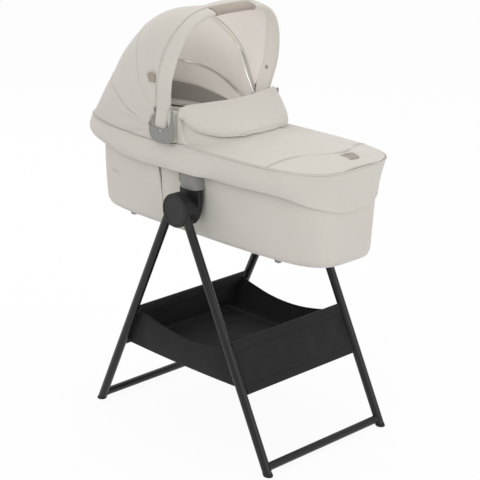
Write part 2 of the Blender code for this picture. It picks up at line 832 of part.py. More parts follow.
def make_basket_side():
    """A side panel between the end panels, with its top edge sagging between them."""
    low, high = basket_heights()
    clear = BASKET_FABRIC / 2 / math.cos(LEG_TILT) + 0.0008
    sleeve = BASKET_ROD_RADIUS + RUNNING_GAP + SLEEVE_WALL
    base = low - BASKET_FABRIC
    top = high - sleeve - 0.001

    def inner(height):
        return leg_at_height(FRONT, height, 0).x - HUB_X - clear

    corner = inner(low + sleeve)
    foot = leg_at_height(FRONT, low, 0).x - HUB_X - sleeve - 0.001
    top_edge = [(inner(top) * (1 - i / 6), top - BASKET_SAG * math.sin(math.pi * i / 12)) for i in range(13)]
    outline = [(-corner, low + sleeve), (-foot, base), (foot, base), (corner, low + sleeve)] + top_edge
    y = -BASKET_WIDTH / 2 + BASKET_FABRIC / 2 + 0.001
    return plate(
        "basket_side_right",
        [[(x, z - HUB_HEIGHT) for x, z in outline]],
        BASKET_FABRIC,
        outboard(y),
        "black fabric",
    )


def make_basket_floor():
    """The floor hangs between the bottom sleeves and dips a little in the middle."""
    low, _ = basket_heights()
    sleeve = BASKET_ROD_RADIUS + RUNNING_GAP + SLEEVE_WALL
    reach = basket_rod_place(FRONT, low).x - HUB_X - sleeve - 0.0006
    half = BASKET_WIDTH / 2 - 2 * BASKET_FABRIC
    dip = 0.004
    rows = []
    for i in range(9):
        share = -1 + 2 * i / 8
        row = []
        for j in range(9):
            across = -1 + 2 * j / 8
            z = low + BASKET_FABRIC / 2 - dip * (1 - share * share) * (1 - across**4)
            row.append((HUB_X + reach * share, half * across, z))
        rows.append(row)
    floor = skin("basket_floor", list(reversed(rows)), False, "black fabric")
    thicken(floor, BASKET_FABRIC)
    return floor


# Carrycot


def make_tub():
    """The tub's shell: base, rolled bottom edge and leaning wall."""
    rounding = TUB_EDGE_ROUNDING
    rings = [outset(tub_ring(TUB_BOTTOM), -TUB_BASE_HALF_WIDTH * 0.6, TUB_BOTTOM)]
    for i in range(4):
        angle = math.radians(30 * i)
        height = TUB_BOTTOM + rounding * (1 - math.cos(angle))
        rings.append(outset(tub_ring(height), -rounding * (1 - math.sin(angle)), height))
    rings += [tub_ring(height) for height in wall_heights()[1:]]
    tub = skin("cot_tub", rings, True, "cream fabric")
    net = bmesh.new()
    net.from_mesh(tub.data)
    bottom = [edge for edge in net.edges if edge.is_boundary and edge.verts[0].co.z < TUB_BOTTOM + 1e-4]
    bmesh.ops.contextual_create(net, geom=bottom)
    bmesh.ops.recalc_face_normals(net, faces=net.faces)
    net.to_mesh(tub.data)
    net.free()
    thicken(tub, TUB_WALL)
    return tub


def inner_ring(height, clearance):
    """A ring inside the tub's wall, for what lies in it."""
    return outset(tub_ring(height), -TUB_WALL - clearance, height)


def make_board():
    low = TUB_FLOOR + RUNNING_GAP
    inset = TUB_EDGE_ROUNDING * 0.8
    rings = [inner_ring(height, inset) for height in (low, low + BOARD_THICKNESS)]
    return skin("base_board", rings, True, "board", caps=True)


def make_mattress():
    """A padded slab with a crowned top and sides that pull in at the piping."""
    low = TUB_FLOOR + BOARD_THICKNESS + 2 * RUNNING_GAP
    inset = TUB_EDGE_ROUNDING * 0.62
    steps = ((0, 0.010), (0.12, 0.003), (0.42, 0.0), (0.75, 0.001), (0.93, 0.005), (1.0, 0.014))
    inset += LINING_CLEARANCE
    rings = [inner_ring(low + MATTRESS_THICKNESS * share, inset + pull) for share, pull in steps]
    top = rings[-1]
    centre = Vector((HUB_X + (COT_FOOT_REACH - COT_HEAD_REACH) / 2, 0, 0))
    for share, lift in ((0.72, 0.7), (0.40, 0.95), (0.12, 1.0)):
        height = low + MATTRESS_THICKNESS + MATTRESS_CROWN * lift
        ring = [centre + (point - centre) * share for point in top]
        rings.append([Vector((point.x, point.y, height)) for point in ring])
    return skin("mattress", rings, True, "cream fabric", caps=True)


def make_pad(name, x, y):
    low = TUB_BOTTOM - RUNNING_GAP - PAD_HEIGHT
    pad = block(
        name,
        (HUB_X + x - PAD_LENGTH / 2, y - PAD_WIDTH / 2, low),
        (HUB_X + x + PAD_LENGTH / 2, y + PAD_WIDTH / 2, TUB_BOTTOM - RUNNING_GAP),
        "rubber",
    )
    bevel(pad, 0.002, segments=1)
    return pad


def make_rim_tube():
    """The rim tube rings the tub just under its top edge."""
    middle = RIM_SEAM_HEIGHT - RIM_FABRIC - RIM_TUBE_RADIUS - RIM_HEAD_DIP
    path = outset(tub_ring(middle), RIM_TUBE_RADIUS + 2 * RUNNING_GAP, middle)
    curve = bpy.data.curves.new("rim_tube", "CURVE")
    curve.dimensions = "3D"
    curve.bevel_depth = RIM_TUBE_RADIUS
    curve.bevel_resolution = 1
    spline = curve.splines.new("POLY")
    spline.points.add(len(path) - 1)
    for point, place in zip(spline.points, path):
        point.co = (*place, 1)
    spline.use_cyclic_u = True
    return add("rim_tube", curve, "tube")


def foot_share(point):
    """0 along the sides, rising to 1 at the foot tip."""
    return ease((point.x - HUB_X - COT_FOOT_REACH + FOOT_TURN) / FOOT_TURN_RUN)


def hem_height(point):
    return HEM_HEIGHT - head_dip(point, HEM_HEAD_DIP) - HEM_FOOT_DIP * foot_share(point)


def skirt_flare(point):
    """How far the hem stands off the tub: more along the sides, and most where it passes over a receiver."""
    beside = 1 - max(foot_share(point), ease((HUB_X - 0.20 - point.x) / 0.22))
    over = 1 - ease((abs(point.x - HUB_X) - ADAPTER_HALF_WIDTH - 0.004) / 0.05)
    return mix(SKIRT_TUCK, SKIRT_FLARE, beside) + SKIRT_PUSH * over + RIM_FABRIC


def rim_bulges(ring, share):
    """How far the skirt stands out between its hem and its seam: most round the head."""
    bulges = []
    for point in ring:
        round_head = ease((HUB_X - COT_HEAD_REACH / 2 - point.x) / (COT_HEAD_REACH / 3))
        bulges.append(share * mix(RIM_BULGE, RIM_HEAD_BULGE, round_head))
    return bulges


def make_rim_band():
    """The padded skirt: from its hem out to the seam, then over the rim tube to the tub's top edge."""
    seam = seam_ring()
    hem = []
    for i, point in enumerate(seam):
        hem.append(outset(tub_ring(hem_height(point)), skirt_flare(point))[i])
    bulge = outset([low.lerp(high, 0.5) for low, high in zip(hem, seam)], rim_bulges(seam, 1.0))
    shoulder = outset([low.lerp(high, 0.85) for low, high in zip(hem, seam)], rim_bulges(seam, 0.35))
    roll_height = [mix(point.z, RIM_SEAM_HEIGHT, 0.5) for point in seam]
    roll = outset(seam, -RIM_ROLL, roll_height)
    inner = outset(tub_ring(TUB_TOP), -TUB_WALL * 0.6, RIM_SEAM_HEIGHT)
    band = skin("rim_band", [hem, bulge, shoulder, seam, roll, inner], True, "cream fabric")
    thicken(band, RIM_FABRIC)
    return band


def make_receiver():
    """A moulded housing on the tub's side, with a socket that is open below for the adapter's tongue."""
    low = RECEIVER_BOTTOM - HUB_HEIGHT
    outline = [
        (RECEIVER_OUTER_Y, low),
        (RECEIVER_OUTER_Y + RECEIVER_REACH - TUB_BASE_HALF_WIDTH, low),
        (RECEIVER_OUTER_Y + RECEIVER_REACH - TUB_BASE_HALF_WIDTH, low + RECEIVER_HEIGHT),
        (RECEIVER_OUTER_Y + RECEIVER_TOP_SET_BACK, low + RECEIVER_HEIGHT),
        (RECEIVER_OUTER_Y, low + RECEIVER_FACE_HEIGHT),
    ]
    across = Matrix.Translation((HUB_X, 0, HUB_HEIGHT)) @ Matrix(
        ((0, 0, 1, 0), (1, 0, 0, 0), (0, 1, 0, 0), (0, 0, 0, 1))
    )
    receiver = plate("receiver_right", [outline], 2 * ADAPTER_HALF_WIDTH, across, "grey plastic")
    bevel(receiver, RECEIVER_ROUNDING, segments=2)
    heights = wall_heights()[1:]
    rings = [outset(tub_ring(height), RUNNING_GAP) for height in heights]
    rings.append(outset(rings[-1], RUNNING_GAP, TUB_TOP + RECEIVER_ROUNDING))
    wall = skin("tub_wall_cutter", rings, True, None, caps=True)
    socket_end = HUB_HEIGHT + RECEIVER_SEAT + TONGUE_HEIGHT + BEARING_GAP
    half_width = TONGUE_HALF_WIDTH + RUNNING_GAP
    half_depth = TONGUE_THICKNESS / 2 + RUNNING_GAP
    socket = block(
        "receiver_socket",
        (HUB_X - half_width, TONGUE_Y - half_depth, RECEIVER_BOTTOM - OVERSHOOT),
        (HUB_X + half_width, TONGUE_Y + half_depth, socket_end),
    )
    face = HUB_X - ADAPTER_HALF_WIDTH
    rise = BUTTON_LENGTH / 2 + RUNNING_GAP
    pocket = block(
        "button_pocket",
        (face - OVERSHOOT, TONGUE_Y - BUTTON_WIDTH / 2 - RUNNING_GAP, button_height() - rise),
        (face + BUTTON_POCKET, TONGUE_Y + BUTTON_WIDTH / 2 + RUNNING_GAP, button_height() + rise),
    )
    cut(receiver, wall, socket, pocket)
    return receiver


def button_height():
    return RECEIVER_BOTTOM + BUTTON_RISE


def make_release_button():
    """The button stands proud of the receiver's head side, with room behind it for its travel."""
    face = HUB_X - ADAPTER_HALF_WIDTH
    button = block(
        "release_button_right",
        (face - BUTTON_PROUD, TONGUE_Y - BUTTON_WIDTH / 2, button_height() - BUTTON_LENGTH / 2),
        (face + BUTTON_SEATED, TONGUE_Y + BUTTON_WIDTH / 2, button_height() + BUTTON_LENGTH / 2),
        "grey plastic",
    )
    bevel(button, 0.0015, segments=1)
    return button


# Apron and wind flap


def apron_half_width(x):
    """Half width of the apron where it lies on the rim, x measured from the fold axis."""
    reach = COT_FOOT_REACH - APRON_FABRIC if x > 0 else COT_HEAD_REACH
    squareness = RIM_FOOT_SQUARENESS if x > 0 else RIM_HEAD_SQUARENESS
    share = min(abs(x) / reach, 1)
    return (RIM_HALF_WIDTH - APRON_FABRIC) * (1 - share**squareness) ** (1 / squareness)


def apron_head_edge(across):
    """X of the head edge: it is bowed towards the foot in the middle."""
    return APRON_HEAD_X - APRON_HEAD_BOW * across**2


def apron_ramp_end(across):
    """X where the raised head of the apron has come down to its low crown."""
    spread = min(abs(across) * RIM_HALF_WIDTH / APRON_RAMP_HALF_WIDTH, 1)
    start = APRON_HEAD_X - APRON_HEAD_BOW + 0.010
    return max(start + (APRON_RAMP - start) * math.sqrt(1 - spread**2), apron_head_edge(across) + 0.006)


def apron_point(x, across, lift=0.0):
    """A point on the apron: across runs from -1 at the right edge to 1 at the left edge."""
    start, end = apron_head_edge(across), apron_ramp_end(across)
    straight = min(max((x - start) / (end - start), 0), 1)
    ramp = mix(straight, ease((x - start) / (end + APRON_CROWN - start)), 0.45)
    fade = 1 - 0.8 * ease((x - COT_FOOT_REACH * 0.70) / (COT_FOOT_REACH * 0.30))
    head = APRON_HEAD_CROWN * max(1 - abs(across) ** APRON_HEAD_SQUARENESS, 0) ** (1 / APRON_HEAD_SQUARENESS)
    low = APRON_CROWN * fade * (1 - abs(across) ** 2.2)
    rise = mix(head, low, ramp) + lift
    base = RIM_SEAM_HEIGHT + APRON_FABRIC + 2 * RUNNING_GAP
    return Vector((HUB_X + x, (apron_half_width(x) + lift) * across, base + rise))


def spread_across(j, count):
    """Shares across the apron, closer together towards its edges."""
    return math.sin(math.pi / 2 * (1 - 2 * j / (count - 1)))


def make_apron():
    """The cover over the foot end: from its head edge down the ramp, then low to the foot."""
    columns = APRON_COLUMNS
    tip = COT_FOOT_REACH - APRON_FABRIC - 0.002
    rows = []
    for i in range(6):
        share = i / 6
        rows.append([(mix(apron_head_edge(a), apron_ramp_end(a), share), a) for a in across_shares(columns)])
    for i in range(7):
        share = 1 - (1 - i / 6) ** 1.6
        rows.append([(mix(apron_ramp_end(a), tip, share), a) for a in across_shares(columns)])
    apron = skin("apron", [[apron_point(x, a) for x, a in row] for row in rows], False, "cream fabric")
    thicken(apron, APRON_FABRIC)
    return apron


def across_shares(count):
    return [spread_across(j, count) for j in range(count)]


def make_wind_flap():
    """A padded crescent that is folded down over the apron's head edge."""
    rings = []
    steps = 7
    for a in across_shares(APRON_COLUMNS)[1:-1]:
        start, end = apron_head_edge(a), apron_ramp_end(a)
        high, low = [], []
        for i in range(steps):
            share = i / (steps - 1)
            x = mix(start, end, share)
            puff = FLAP_THICKNESS * (1 - (2 * share - 1) ** 4) ** 0.5 * (1 - abs(a) ** 10) + 0.002
            low.append(apron_point(x, a, FLAP_LIFT))
            high.append(apron_point(x, a, FLAP_LIFT + puff))
        rings.append(low + list(reversed(high)))
    return skin("wind_flap", rings, True, "cream fabric", caps=True)


# Hood


def arch_point(degrees, reach, angle, drop=0.0, squareness=RIB_SQUARENESS):
    """A point on a hoop that leans back from upright by some degrees; angle runs from -90 (right) to 90.

    The hoop is drawn in towards its ends, and drop is how far inside the outer surface the point lies.
    """
    lean = math.radians(degrees)
    around = math.radians(angle)
    radius = rounded_radius(around, squareness)
    rise = (reach - drop) * radius * math.cos(around)
    tuck = HOOD_TUCK * (1 - ease((rise - HOOD_TUCK_START) / HOOD_TUCK_RUN))
    out = (HOOD_HALF_WIDTH - tuck - drop) * radius * math.sin(around)
    return HOOD_PIVOT + Vector((-math.sin(lean) * rise, out, math.cos(lean) * rise))


def hood_rise(point):
    return math.hypot(point.x - HOOD_PIVOT.x, point.z - HOOD_PIVOT.z)


def backwards(degrees):
    lean = math.radians(degrees)
    return Vector((-math.cos(lean), 0, -math.sin(lean)))


def bow_point(angle, drop=0.0):
    """A point on the bow's middle line, which is set back a little below its top."""
    point = arch_point(BOW_ANGLE, BOW_REACH, angle, drop, BOW_SQUARENESS)
    share = min(hood_rise(point) / BOW_REACH, 1)
    return point + backwards(BOW_ANGLE) * (BOW_SET_BACK * (1 - share**3))


def bow_width(point):
    """The bow is widest half way up, and slimmer at its ends and under the grip."""
    rise = hood_rise(point)
    side = mix(BOW_END_WIDTH, BOW_WIDTH, ease(rise / 0.045))
    return mix(side, BOW_TOP_WIDTH, ease((rise - 0.160) / 0.115))


def panel_angles():
    return [PANEL_SPREAD * (j / 10 - 1) for j in range(21)]


def hood_panel(name, first, last, steps, swell, corner=0.0):
    """Fabric between two hoops, swelling out between them and more at its upper corners."""
    rows = []
    for i in range(steps + 1):
        share = i / steps
        row = []
        for start, end, angle in zip(first, last, panel_angles()):
            point = start.lerp(end, share)
            out = Vector((point.x - HOOD_PIVOT.x, 0, point.z - HOOD_PIVOT.z))
            push = swell * min(out.length / REAR_RIB_REACH, 1)
            push += corner * math.sin(math.radians(2 * angle)) ** 2
            row.append(point + out.normalized() * (push * math.sin(math.pi * share)))
        rows.append(row)
    panel = skin(name, rows, False, "cream fabric")
    thicken(panel, HOOD_FABRIC)
    return panel


def rib_row(degrees, reach, droop, aside):
    """The fabric's line over a rib: it droops towards the rear near its ends, and aside parts two panels."""
    row = []
    for angle in panel_angles():
        rise = hood_rise(arch_point(degrees, reach, angle))
        lean = degrees + droop * (1 - ease(rise / DROOP_RISE))
        row.append(arch_point(lean, reach, angle) + backwards(lean) * aside)
    return row


def make_front_panel():
    """From the bow's rear edge to the middle rib."""
    first = []
    for angle in panel_angles():
        point = bow_point(angle, 0.001)
        first.append(point + backwards(BOW_ANGLE) * (bow_width(point) / 2 + 0.001))
    last = rib_row(MIDDLE_RIB_ANGLE, MIDDLE_RIB_REACH, MIDDLE_DROOP, -PANEL_PARTING)
    return hood_panel("hood_front_panel", first, last, 4, FRONT_PANEL_SWELL, FRONT_PANEL_CORNER)


def make_middle_panel():
    first = rib_row(MIDDLE_RIB_ANGLE, MIDDLE_RIB_REACH, MIDDLE_DROOP, PANEL_PARTING)
    last = rib_row(REAR_RIB_ANGLE, REAR_RIB_REACH, REAR_DROOP, -PANEL_PARTING)
    return hood_panel("hood_middle_panel", first, last, 3, MIDDLE_PANEL_SWELL)


def make_rear_panel():
    """From the rear rib down to the rim round the head end."""
    hem = []
    for angle in panel_angles():
        around = math.radians(180 - angle * HEM_SPREAD / PANEL_SPREAD)
        radius = rounded_radius(around, RIM_HEAD_SQUARENESS)
        place = Vector(
            (
                HUB_X + (COT_HEAD_REACH - RIM_FABRIC) * radius * math.cos(around),
                (RIM_HALF_WIDTH - RIM_FABRIC) * radius * math.sin(around),
                0,
            )
        )
        place.z = RIM_SEAM_HEIGHT - head_dip(place, RIM_HEAD_DIP) + 0.0045
        hem.append(place)
    first = rib_row(REAR_RIB_ANGLE, REAR_RIB_REACH, REAR_DROOP, PANEL_PARTING)
    return hood_panel("hood_rear_panel", first, hem, 4, REAR_PANEL_SWELL)


def eye(name, y, thickness, radius=HOOD_EYE_RADIUS):
    """A flat eye round the hood's pivot pin."""
    bore = HOOD_PIN_RADIUS + RUNNING_GAP
    place = Matrix.Translation((HOOD_PIVOT.x, y, HOOD_PIVOT.z)) @ Matrix.Rotation(math.pi / 2, 4, "X")
    return turned(name, hub_profile(thickness / 2, -thickness / 2, radius, bore), place, None, 20)


def make_rib(name, degrees, reach, eye_y):
    """A wire hoop just under the fabric, whose ends run inboard to a flat eye on the pivot pin."""
    drop = HOOD_FABRIC + RIB_RADIUS + 2 * RUNNING_GAP
    ends = 88.0
    points = []
    for j in range(25):
        place = arch_point(degrees, reach, ends * math.sin(math.pi / 2 * (2 * j / 24 - 1)), drop)
        outward = ease((hood_rise(place) - RIB_INBOARD_RISE) / HOOD_TUCK_RUN)
        place.y = math.copysign(mix(-eye_y, abs(place.y), outward), place.y)
        points.append(place)
    curve = bpy.data.curves.new(name, "CURVE")
    curve.dimensions = "3D"
    curve.bevel_depth = RIB_RADIUS
    curve.bevel_resolution = 2
    curve.use_fill_caps = True
    spline = curve.splines.new("POLY")
    spline.points.add(len(points) - 1)
    for point, place in zip(spline.points, points):
        point.co = (*place, 1)
    wire = as_part(as_mesh(add(name, curve)), "steel")
    for side in (1, -1):
        join(wire, eye(f"{name}_eye_{side + 1}", side * eye_y, HOOD_EYE_THICKNESS))
    return wire


def band_rings(width_change, thickness, rise, first, last, count):
    """Sections of the flat padded bow; its outer face is raised by rise, and its width changed."""
    rings = []
    back = backwards(BOW_ANGLE)
    for i in range(count):
        angle = mix(first, last, i / (count - 1))
        here = bow_point(angle)
        ahead = bow_point(angle + 0.5) - bow_point(angle - 0.5)
        out = ahead.normalized().cross(back).normalized()
        if out.dot(here - HOOD_PIVOT) < 0:
            out.negate()
        middle = here + out * (rise - thickness / 2)
        width = bow_width(here) + width_change
        ring = []
        for k in range(10):
            turn = 2 * math.pi * (k + 0.5) / 10
            radius = rounded_radius(turn, BOW_SECTION_SQUARENESS)
            aside = width / 2 * radius * math.cos(turn)
            ring.append(middle + back * aside + out * (thickness / 2 * radius * math.sin(turn)))
        rings.append(ring)
    return rings


def make_bow():
    """The carrying bow: a padded hoop, slimmer under its grip, with an eye at each end."""
    bow = skin("hood_bow", band_rings(0, BOW_THICKNESS, 0, -89, 89, 23), True, "cream fabric", caps=True)
    slot = GRIP_WALL + RUNNING_GAP
    deep = BOW_THICKNESS + OVERSHOOT
    groove = band_rings(OVERSHOOT, deep, OVERSHOOT / 2, -GRIP_HALF_ANGLE, GRIP_HALF_ANGLE, 9)
    core = band_rings(
        -2 * slot, BOW_THICKNESS - 2 * slot, -slot, -GRIP_HALF_ANGLE - 3, GRIP_HALF_ANGLE + 3, 9
    )
    cut(bow, skin("grip_groove", groove, True, None, caps=True))
    join(bow, skin("grip_core", core, True, None, caps=True))
    for side in (1, -1):
        join(bow, eye(f"bow_eye_{side + 1}", side * BOW_EYE_Y, BOW_THICKNESS, HOOD_EYE_RADIUS + 0.002))
    for side in (1, -1):
        top, bottom = bow_button_seat(side)
        radius = BOW_BUTTON_RADIUS + RUNNING_GAP
        cut(bow, rod(f"bow_button_pocket_{side + 1}", bottom, top + (top - bottom) * 3, radius, sides=16))
    middle = HOOD_PIVOT.copy()
    reach = Vector((0, HOOD_HALF_WIDTH, 0))
    cut(bow, rod("bow_pin_bore", middle - reach, middle + reach, HOOD_PIN_RADIUS + RUNNING_GAP, sides=20))
    return bow


def bow_button_angle():
    """Where round the bow's hoop the buttons' rise is reached."""
    angle = 90.0
    while hood_rise(bow_point(angle)) < BOW_BUTTON_RISE:
        angle -= 0.25
    return angle


def bow_button_seat(side):
    """Top and bottom of a button's pocket in the bow's inner face."""
    here = bow_point(side * bow_button_angle(), BOW_THICKNESS)
    deep = Vector((0, side * BOW_BUTTON_DEPTH, 0))
    return here, here + deep


def make_bow_button():
    top, bottom = bow_button_seat(-1)
    inner_end = bottom + Vector((0, BOW_BUTTON_TRAVEL, 0))
    outer_end = top + Vector((0, BOW_BUTTON_PROUD, 0))
    button = rod("bow_button_right", inner_end, outer_end, BOW_BUTTON_RADIUS, "grey plastic", 16)
    bevel(button, 0.0006, segments=1)
    return button


def make_grip():
    """The leatherette sleeve around the top of the bow."""
    edge = GRIP_HALF_ANGLE - math.degrees(RUNNING_GAP / BOW_REACH) * 2
    rings = band_rings(0, BOW_THICKNESS, 0, -edge, edge, 9)
    grip = skin("carry_grip", rings, True, "leatherette", caps=True)
    thickness = BOW_THICKNESS - 2 * GRIP_WALL
    hole = band_rings(-2 * GRIP_WALL, thickness, -GRIP_WALL, -edge - 3, edge + 3, 11)
    cut(grip, skin("grip_hole", hole, True, None, caps=True))
    return grip


def make_hood_joint():
    """The grey seat of the bow: a cup-shaped cheek with an arm beside the bow, on a foot on the rim."""
    radius = HOOD_JOINT_RADIUS
    shares = (
        arc((-0.667, -0.25), 1, 168, 262, 5)
        + arc((1, -0.167), 1, 278, 352, 5)
        + [(1.917, 1.25), (1.917, 2.292), (1.667, 2.333), (1.583, 1.25), (1.375, 0.583)]
        + arc((0.25, 1.417), 1.25, -42, -110, 4)
        + [(-1.25, 0.167), (-1.667, 0.25)]
    )
    cheek = [(radius * x, radius * y) for x, y in shares]
    outer = HOOD_BASE_Y - HOOD_JOINT_GAP - HOOD_JOINT_WALL / 2
    place = outboard(outer, HOOD_PIVOT.x, HOOD_PIVOT.z)
    joint = plate("hood_joint_right", [cheek], HOOD_JOINT_WALL, place, "grey plastic")
    bevel(joint, 0.0008, segments=1)
    seat = RIM_SEAM_HEIGHT + RUNNING_GAP
    foot = block(
        "hood_joint_foot",
        (HOOD_PIVOT.x - radius * 0.417, outer, seat),
        (HOOD_PIVOT.x + radius * 1.25, -RIM_HALF_WIDTH + HOOD_JOINT_FOOT, seat + HOOD_JOINT_SEAT),
    )
    bore = rod(
        "hood_joint_bore",
        (HOOD_PIVOT.x, outer - OVERSHOOT, HOOD_PIVOT.z),
        (HOOD_PIVOT.x, outer + OVERSHOOT, HOOD_PIVOT.z),
        HOOD_PIN_RADIUS + RUNNING_GAP,
        sides=20,
    )
    join(joint, foot)
    cut(joint, bore)
    return joint


def make_hood_pin():
    """The pivot pin, from the joint's cheek through the bow's and the ribs' eyes to its head."""
    outer = HOOD_BASE_Y - HOOD_JOINT_GAP - HOOD_JOINT_WALL / 2 - PIN_SHY
    inner = REAR_EYE_Y + HOOD_EYE_THICKNESS / 2 + RUNNING_GAP
    place = Matrix.Translation((HOOD_PIVOT.x, inner, HOOD_PIVOT.z)) @ Matrix.Rotation(-math.pi / 2, 4, "X")
    profile = [
        (0, HOOD_PIN_HEAD),
        (HOOD_PIN_RADIUS * 1.6, HOOD_PIN_HEAD),
        (HOOD_PIN_RADIUS * 1.6, 0),
        (HOOD_PIN_RADIUS, 0),
        (HOOD_PIN_RADIUS, outer - inner),
        (0, outer - inner),
    ]
    return turned("hood_pin_right", profile, place, "steel", 20)


def build():
    clear_scene()
    low, high = basket_heights()
    fold_axis = joint_axis("stand_fold_axis", HUB_AXIS)
    hood_axis = joint_axis("hood_axis", HOOD_PIVOT)
    flap_end = across_shares(APRON_COLUMNS)[1]
    flap_corner = apron_point(apron_head_edge(flap_end), flap_end)
    flap_axis = joint_axis("wind_flap_axis", (flap_corner.x, 0, flap_corner.z))

    rear_leg = make_leg("rear_leg_right", REAR, 0.012)
    reach = Vector((0, 2 * OVERSHOOT, 0))
    beside_hub = Vector((HUB_X, LEG_Y, HUB_HEIGHT))
    drum = rod("drum_round_leg", beside_hub - reach, beside_hub + reach, HUB_RADIUS + RUNNING_GAP, sides=48)
    cut(rear_leg, drum)
    front_leg = make_leg("front_leg_right", FRONT, SHOULDER_END + RUNNING_GAP)
    front_cap = make_foot_cap("front_foot_cap_right", FRONT)
    knuckle = make_knuckle()
    rear_pieces = [
        rear_leg,
        make_foot_cap("rear_foot_cap_right", REAR),
        make_hub_housing(),
        make_hub_cover(),
        make_fold_bolt(),
        make_adapter(),
        make_basket_side(),
    ]
    front_pieces = [front_leg, front_cap, knuckle]
    right_pieces = rear_pieces + front_pieces
    cross_pieces = {}
    for end, word in ((FRONT, "front"), (REAR, "rear")):
        cross_pieces[end] = [
            make_floor_bar(f"{word}_floor_bar", end),
            make_basket_rod(f"basket_{word}_bottom_rod", end, low),
            make_basket_rod(f"basket_{word}_top_rod", end, high),
            make_basket_end(f"basket_{word}_panel", end),
        ]
    make_basket_floor()

    make_tub()
    make_board()
    make_mattress()
    for x, word in ((-PAD_HEAD_X, "head"), (PAD_FOOT_X, "foot")):
        right_pieces.append(make_pad(f"cot_pad_{word}_right", x, -PAD_Y))
    make_rim_tube()
    make_rim_band()
    right_pieces += [make_receiver(), make_release_button(), make_hood_joint(), make_hood_pin()]
    make_apron()
    hang_on(flap_axis, make_wind_flap())
    make_rear_panel()
    bow_button = make_bow_button()
    right_pieces.append(bow_button)
    hood_pieces = [
        make_middle_panel(),
        make_front_panel(),
        make_rib("hood_middle_rib", MIDDLE_RIB_ANGLE, MIDDLE_RIB_REACH, MIDDLE_EYE_Y),
        make_rib("hood_rear_rib", REAR_RIB_ANGLE, REAR_RIB_REACH, REAR_EYE_Y),
        make_bow(),
        make_grip(),
        bow_button,
    ]
    twins = {piece.name: left_twin(piece) for piece in right_pieces}
    hang_on(fold_axis, *front_pieces, *[twins[piece.name] for piece in front_pieces], *cross_pieces[FRONT])
    hang_on(hood_axis, *hood_pieces, twins[bow_button.name])


build()
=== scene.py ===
"""Carrycot on its folding stand, dressed for a picture.

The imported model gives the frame: its bodies, joints and solid nodes. Here the hard pieces get smoothed
copies and moulded or painted finishes, and the soft pieces are sewn anew as sheets and padded bodies in the
space that their solids hold. Metres, +Z up, +X to the foot end, -Y is the right side.
"""

import json
import math

import bmesh
import bpy
import numpy as np
from mathutils import Matrix, Vector

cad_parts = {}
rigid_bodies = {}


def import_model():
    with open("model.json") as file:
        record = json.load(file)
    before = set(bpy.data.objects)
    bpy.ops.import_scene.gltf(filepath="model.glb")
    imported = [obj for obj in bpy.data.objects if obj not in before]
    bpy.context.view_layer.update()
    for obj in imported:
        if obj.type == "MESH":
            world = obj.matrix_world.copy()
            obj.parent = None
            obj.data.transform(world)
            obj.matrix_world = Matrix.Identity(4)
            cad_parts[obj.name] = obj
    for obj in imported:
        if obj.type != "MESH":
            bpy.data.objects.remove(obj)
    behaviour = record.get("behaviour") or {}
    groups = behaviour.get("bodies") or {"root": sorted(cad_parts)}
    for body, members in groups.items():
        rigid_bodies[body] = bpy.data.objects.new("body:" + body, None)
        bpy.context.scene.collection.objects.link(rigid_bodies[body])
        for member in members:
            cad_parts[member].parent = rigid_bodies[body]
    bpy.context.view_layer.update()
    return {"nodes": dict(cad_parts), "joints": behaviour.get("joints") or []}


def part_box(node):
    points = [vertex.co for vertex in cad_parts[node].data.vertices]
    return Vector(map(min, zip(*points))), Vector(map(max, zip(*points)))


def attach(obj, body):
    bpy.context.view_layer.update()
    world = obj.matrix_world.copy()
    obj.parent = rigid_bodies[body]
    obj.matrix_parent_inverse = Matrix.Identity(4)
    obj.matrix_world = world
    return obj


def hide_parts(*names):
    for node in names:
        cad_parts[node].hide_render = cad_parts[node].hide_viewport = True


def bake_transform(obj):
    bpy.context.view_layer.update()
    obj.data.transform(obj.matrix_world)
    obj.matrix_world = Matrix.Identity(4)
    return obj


bl_info = {
    "name": "Carrycot stand dresser",
    "version": (1, 0, 0),
    "blender": (4, 5, 0),
    "location": "3D View > Sidebar > Carrycot",
    "description": "Sews, stitches and finishes the carrycot and its stand on the packed model",
    "category": "Object",
}

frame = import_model()

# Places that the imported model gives
PLACES = {joint["name"]: joint.get("pos_m") for joint in frame["joints"]}
HUB_X, _, HUB_HEIGHT = PLACES["stand_fold"]
PIVOT = np.array(PLACES["hood_bow_fold"], float)

# Signs of y for the sides and of x for the ends, in the order in which they are made
SIDES = ((-1, "right"), (1, "left"))
ENDS = ((1, "front"), (-1, "rear"))

# Thicknesses of cloth, mesh and leatherette, and of the dark strip painted as the shade in the tub's slit
COVER_THICK, HOOD_THICK, LAP_THICK, LINING_THICK, HOOD_LINING_THICK = 0.003, 0.0022, 0.0012, 0.0015, 0.001
BASKET_THICK, BASKET_FLOOR_THICK, LEATHER_THICK = 0.0011, 0.0014, 0.0012
MESH_THICK, SLIT_SHADE_THICK = 0.0006, 0.0006

# Radii of piping, bindings and thread, and the gap after a stitch as a share of it
WELT_RADIUS, SEAM_RADIUS, TAPE_RADIUS, HEM_RADIUS, EDGE_RADIUS = 0.0011, 0.0012, 0.0013, 0.0016, 0.0019
MATTRESS_RADIUS, HEAD_RADIUS, RING_RADIUS, THREAD_RADIUS, STITCH_GAP = 0.0018, 0.0022, 0.0007, 0.00035, 0.4

# Points in a ring round the carrycot, and steps in which a padded piece swells
RING_POINTS, PUFF_FRAMES = 320, 20

